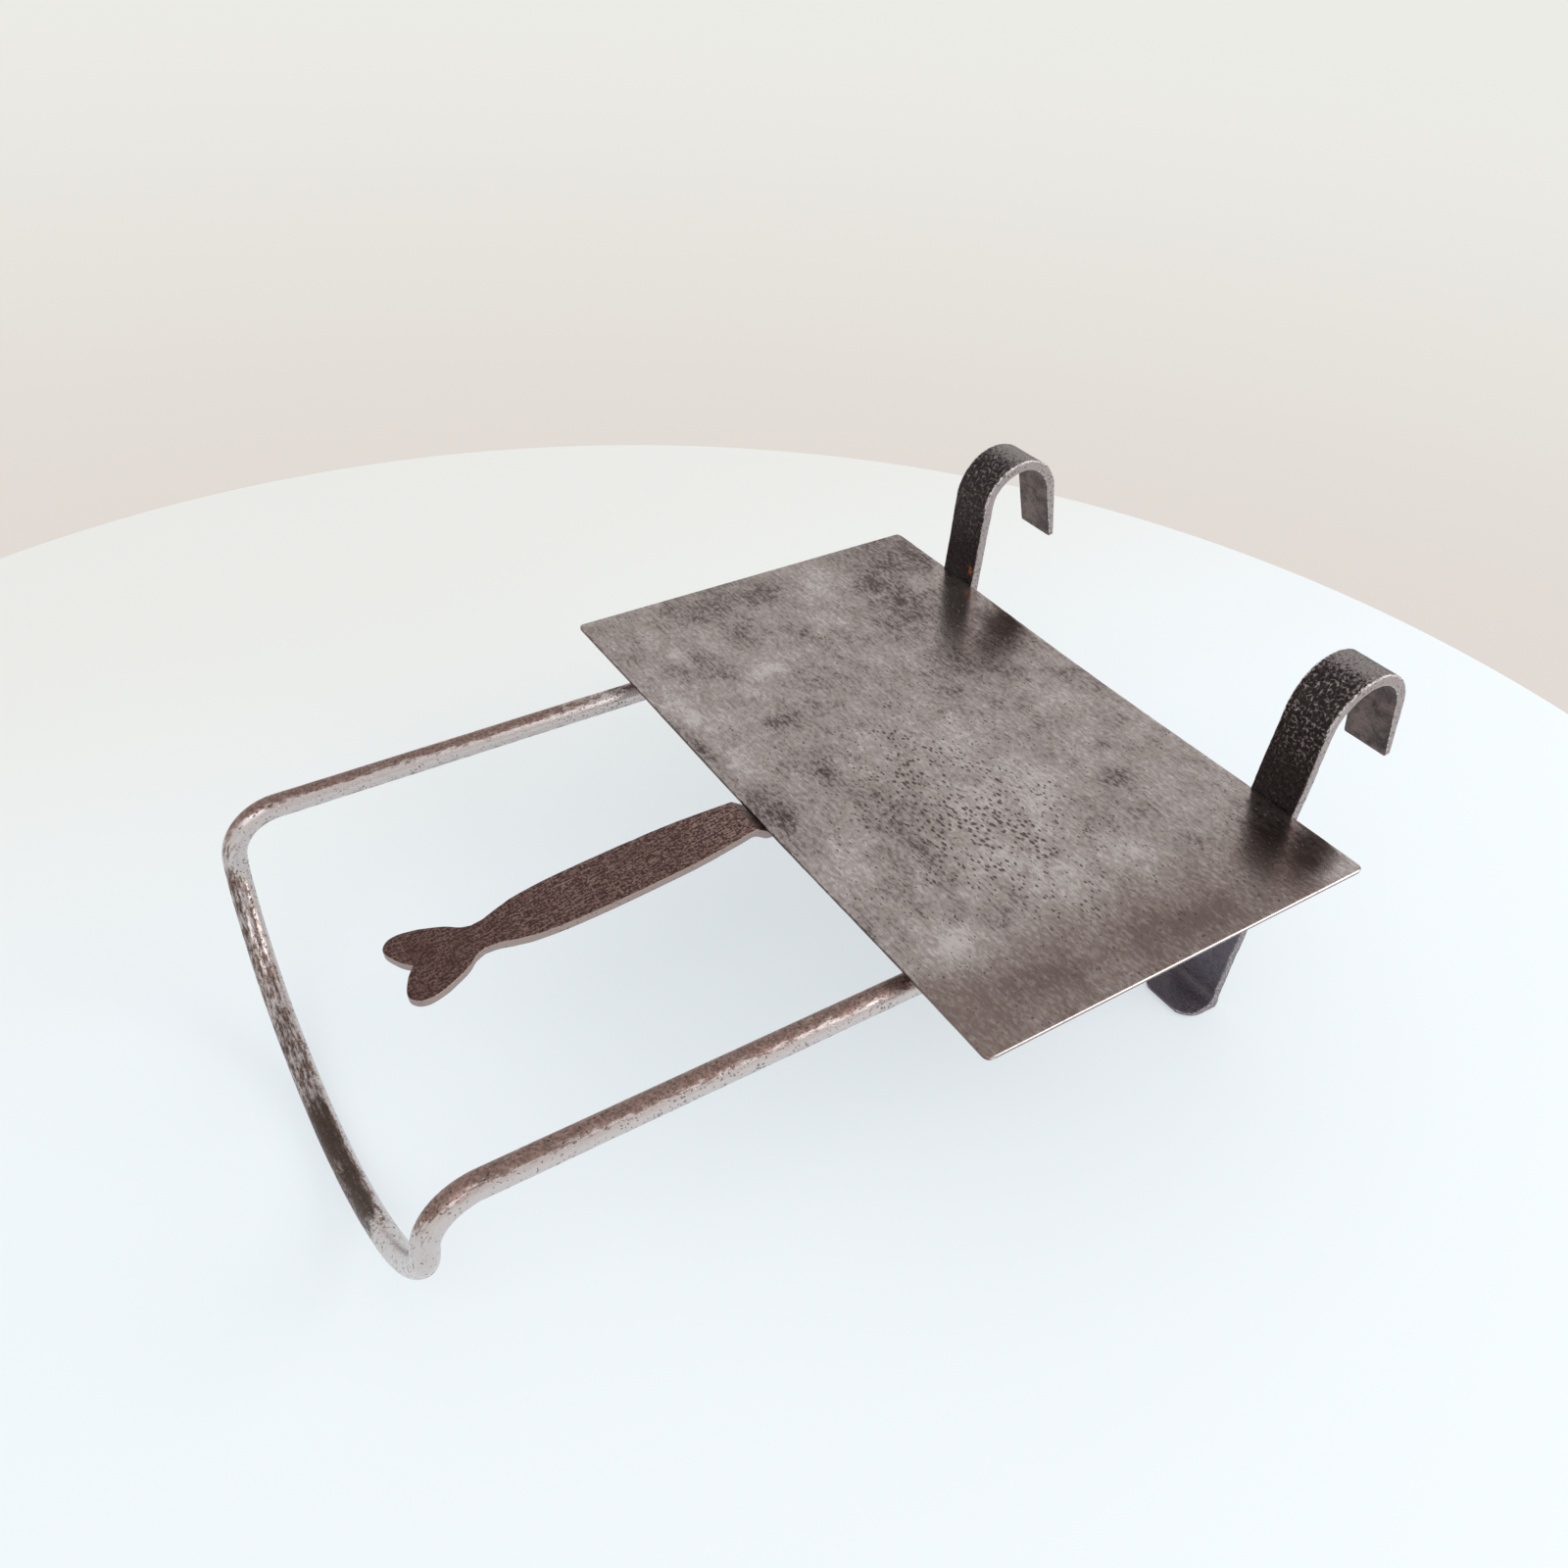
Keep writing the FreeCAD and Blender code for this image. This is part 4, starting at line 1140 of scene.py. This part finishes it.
class HEARTH_OT_handle(bpy.types.Operator):
    """The flat handle: tang under the plate, a joggle, the grip and its fish tail."""
    bl_idname = "hearth.handle"
    bl_label = "Handle"

    def execute(self, context):
        plate, _, _, handle = sizes()
        under = -plate.thick - plate.guide_thick - float(sag_at(handle.aside))
        droop = handle.droop
        away = np.array([-math.cos(droop), -math.sin(droop)])
        total = handle.grip + handle.tail
        line = np.array([[handle.tang, under], [handle.joggle, under], [-handle.joggle, -handle.root_z],
                         np.array([-handle.joggle, -handle.root_z]) + away * total])
        run = np.diff(line, axis=0)
        run /= np.linalg.norm(run, axis=1, keepdims=True)
        down = np.stack([-run[:, 1], run[:, 0]], -1)
        joint = (down[:-1] + down[1:]) / (1 + (down[:-1] * down[1:]).sum(1))[:, None]
        low = line + handle.thick * np.concatenate([down[:1], joint, down[-1:]])
        turns = []
        for curve, radii in ((line, (4.0 * MM, 0.7 * MM)), (low, (5.0 * MM, 5.0 * MM))):
            turns.append([fillet(curve[i], curve[i - 1], curve[i + 1], r) for i, r in zip((1, 2), radii)])
        (t1, t2), (b1, b2) = turns
        pieces = [both((line[0], t1[1]), (low[0], b1[1])), both((t1[0], t1[1]), (b1[0], b1[1]), t1[3], b1[3]),
                  both((t1[2], t2[1]), (b1[2], b2[1])), both((t2[0], t2[1]), (b2[0], b2[1]), t2[3], b2[3]),
                  both((t2[2], line[3]), (b2[2], low[3]))]
        front, back = bar_curves(pieces, line[3], low[3])
        s = along_bar(front, back)
        root_at = s[-1] - total
        side = handle_side(handle) + [root_at, 0]
        tang_rows = np.concatenate([[0.0, 0.06 * MM, 0.22 * MM, 0.45 * MM], np.arange(STEP, root_at, STEP)])
        tang = np.stack([tang_rows, 0 * tang_rows + handle.root / 2], -1)
        right = np.concatenate([tang, side])
        zero = 0 * right[:, 0]
        wobble = 0.25 * MM * (field(np.stack([zero, right[:, 0], zero], -1), 11 * MM, 51) - 0.5)
        right[:, 1] = np.maximum(right[:, 1] + wobble * smooth(0, 3 * MM, right[:, 1]), 0)
        hub = root_at + total - handle.notch - 5 * MM
        middle = np.stack([np.minimum(right[:, 0], hub), zero], -1)
        left = right * [1, -1]
        section = bar_section(22, 5, 0.5 * MM)

        def relief(point, across, ahead):
            broad = 0.16 * cloud(point, 10 * MM, 52) + 0.06 * field(point * [1, 0.4, 1], 1.6 * MM, 53)
            return -(broad * np.abs(ahead) + 0.14 * np.abs(across) * field(point, 2.4 * MM, 54)) * MM

        grid, unbent = flat_bar(front, back, middle, right, left, section, relief)
        points = grid + [handle.aside, 0, 0]
        along = unbent[..., 1] - root_at
        edge = smooth(0.4, 0.85, np.abs(section[4])[None, :] + 0 * along)
        by_root, by_tail = smooth(34 * MM, 0.0, along), smooth(70 * MM, 125 * MM, along)
        marks = {"unbent": unbent, "edge": edge, "rubbed": 0.48 - 0.30 * by_tail + 0.60 * by_root}
        add_piece("fish_tail_handle", [to_row(points)], [marks], handle_finish(), "slide",
                  ["handle"])
        return {"FINISHED"}


def rivet_grid(x, y, top, under, plate):
    """A rivet: its shank, then a head that is a cap with radius r·cos a at depth h·sin a."""
    a = np.linspace(0, math.pi / 2, 8)
    ring = np.concatenate([[0, plate.rivet, plate.rivet], plate.rivet_head * np.cos(a)]) / 2
    z = np.concatenate([[top, top, under], under - plate.rivet_dome * np.sin(a)])
    theta = np.linspace(0, 2 * math.pi, 28, endpoint=False)
    grid = np.stack(np.broadcast_arrays(x + ring[:, None] * np.cos(theta), y + ring[:, None] * np.sin(theta),
                                        z[:, None]), -1)
    dents = 0.12 * MM * cloud(grid, 2.2 * MM, 61)
    on_head = smooth(under - 0.2 * MM, under - 1.0 * MM, grid[..., 2])
    return grid + np.array([0, 0, 1]) * (dents * on_head)[..., None]


class HEARTH_OT_rivets(bpy.types.Operator):
    """The domed rivet heads under the guide bars and the handle's tang."""
    bl_idname = "hearth.rivets"
    bl_label = "Rivets"

    def execute(self, context):
        plate, rod, _, handle = sizes()
        finish = guide_finish("Peened rivet steel")
        front = plate.guide_front + plate.guide_wide / 2
        rear = plate.deep - plate.guide_back - plate.guide_wide / 2
        x = rod.span / 2 - plate.rivet_in
        stack = plate.thick + plate.guide_thick
        sets = {"guide_rivets": [(side * x, y, stack) for y in (front, rear) for side in (-1, 1)],
                "handle_rivets": [(handle.aside + side * handle.rivets / 2, front, stack + handle.thick)
                                  for side in (-1, 1)]}
        for node, places in sets.items():
            grids, marks = [], []
            for px, py, deep in places:
                sunk = float(sag_at(px))
                grid = rivet_grid(px, py, -0.6 * MM - sunk, -deep - sunk, plate)
                grids.append(to_row(grid))
                worn = 0.7 * smooth(-deep - 0.5 * MM, -deep - 1.6 * MM, grid[..., 2])
                marks.append({"unbent": grid, "edge": worn})
            add_piece("peened_" + node, grids, marks, finish, "slide", [node])
        return {"FINISHED"}


class HEARTH_OT_stage(bpy.types.Operator):
    """The pale round table top, which glows by itself as painted light, the plain surroundings, the soft
    lights and the camera.
    """
    bl_idname = "hearth.stage"
    bl_label = "Stage"

    def execute(self, context):
        scene = context.scene
        look = scene.hearth_finish
        theta = np.linspace(0, 2 * math.pi, 160, endpoint=False)[None, :]
        r = np.array([0, 0.2, 0.4, 0.551, 0.5535, 0.555, TABLE_RADIUS, TABLE_RADIUS, 0.54, 0])[:, None]
        z = np.array([0, 0, 0, 0, -0.0005, -0.0020, -0.005, -0.018, -0.022, -0.022])[:, None]
        disc = np.stack(np.broadcast_arrays(TABLE_CENTRE[0] + r * np.cos(theta),
                                            TABLE_CENTRE[1] + r * np.sin(theta), z), -1)
        floor = bpy.data.objects.new("floor", closed_mesh("floor", [disc], [{"unbent": disc}]))
        top = Finish("Pale table top", 0.0, 0.35)
        # painted shade: the table top and its glow grow darker and warmer towards the left, away from the
        # window
        left = Value(top.tree, put(top.tree, "ShaderNodeSeparateXYZ", {0: top.where}).outputs[0]) * -1.0
        window_falloff = left.ramp(0.02, 0.42)
        links = top.tree.links
        links.new(top.mix(window_falloff, look.floor, look.floor_far), top.shader.inputs["Base Color"])
        # painted light: the table top glows by itself, though it is no lamp, lifting the shade under and
        # around the stand
        links.new(top.mix(window_falloff, look.glow, look.glow_far), top.shader.inputs["Emission Color"])
        top.shader.inputs["Emission Strength"].default_value = 1.0
        top.shader.inputs["Roughness"].default_value = 0.55
        floor.data.materials.append(top.material)
        scene.collection.objects.link(floor)

        world = bpy.data.worlds.new("Plain room")
        scene.world = world
        world.use_nodes = True
        tree = world.node_tree
        background = next(n for n in tree.nodes if n.type == "BACKGROUND")
        direction = put(tree, "ShaderNodeTexCoord").outputs["Generated"]
        height = Value(tree, put(tree, "ShaderNodeSeparateXYZ", {0: direction}).outputs[2])
        shade = blend(tree, height.ramp(-0.45, -0.10), look.room_low, look.room_level)
        shade = blend(tree, height.ramp(-0.05, 0.60), shade, look.room_high)
        tree.links.new(shade, background.inputs[0])

        def area(name, place, size, energy, tint):
            light = bpy.data.lights.new(name, "AREA")
            light.shape, light.size, light.size_y = "RECTANGLE", size[0], size[1]
            light.energy, light.color = energy, tint
            lamp = bpy.data.objects.new(name, light)
            lamp.location = place
            lamp.rotation_euler = (Vector((0, 0, 0.03)) - Vector(place)).to_track_quat("-Z", "Y").to_euler()
            scene.collection.objects.link(lamp)

        area("window", (0.85, 1.05, 1.0), (1.1, 0.9), 9.0, (1.0, 0.99, 0.98))
        area("fill", (0.9, -1.0, 1.3), (1.2, 1.2), 7.0, (0.94, 0.97, 1.0))

        camera = bpy.data.objects.new("camera", bpy.data.cameras.new("camera"))
        camera.data.lens, camera.data.sensor_width = CAMERA_LENS, 36.0
        camera.data.clip_start = 0.01
        camera.location = CAMERA_PLACE
        camera.rotation_euler = [math.radians(d) for d in CAMERA_TURN]
        scene.collection.objects.link(camera)
        scene.camera = camera
        scene.view_settings.view_transform = "Standard"
        return {"FINISHED"}


class HEARTH_PT_panel(bpy.types.Panel):
    """Lists the steps that build the stand."""
    bl_idname = "HEARTH_PT_panel"
    bl_label = "Hearth stand"
    bl_space_type = "VIEW_3D"
    bl_region_type = "UI"
    bl_category = "Hearth"

    def draw(self, context):
        for step in STEPS:
            self.layout.operator(step.bl_idname)
        for name in SIZES:
            box = self.layout.box()
            group_of_sizes = getattr(context.scene, name)
            for prop in group_of_sizes.bl_rna.properties:
                if prop.identifier not in ("rna_type", "name"):
                    box.prop(group_of_sizes, prop.identifier)


STEPS = (HEARTH_OT_stage, HEARTH_OT_plate, HEARTH_OT_rail_bow, HEARTH_OT_hook_straps,
         HEARTH_OT_guides, HEARTH_OT_handle, HEARTH_OT_rivets)
CLASSES = (*SIZES.values(), *STEPS, HEARTH_PT_panel)


def register():
    for cls in CLASSES:
        bpy.utils.register_class(cls)
    for name, cls in SIZES.items():
        setattr(bpy.types.Scene, name, PointerProperty(type=cls))


def unregister():
    for name in SIZES:
        delattr(bpy.types.Scene, name)
    for cls in reversed(CLASSES):
        bpy.utils.unregister_class(cls)


def main():
    register()
    for step in STEPS:
        family, name = step.bl_idname.split(".")
        getattr(getattr(bpy.ops, family), name)()


if __name__ == "__main__":
    main()
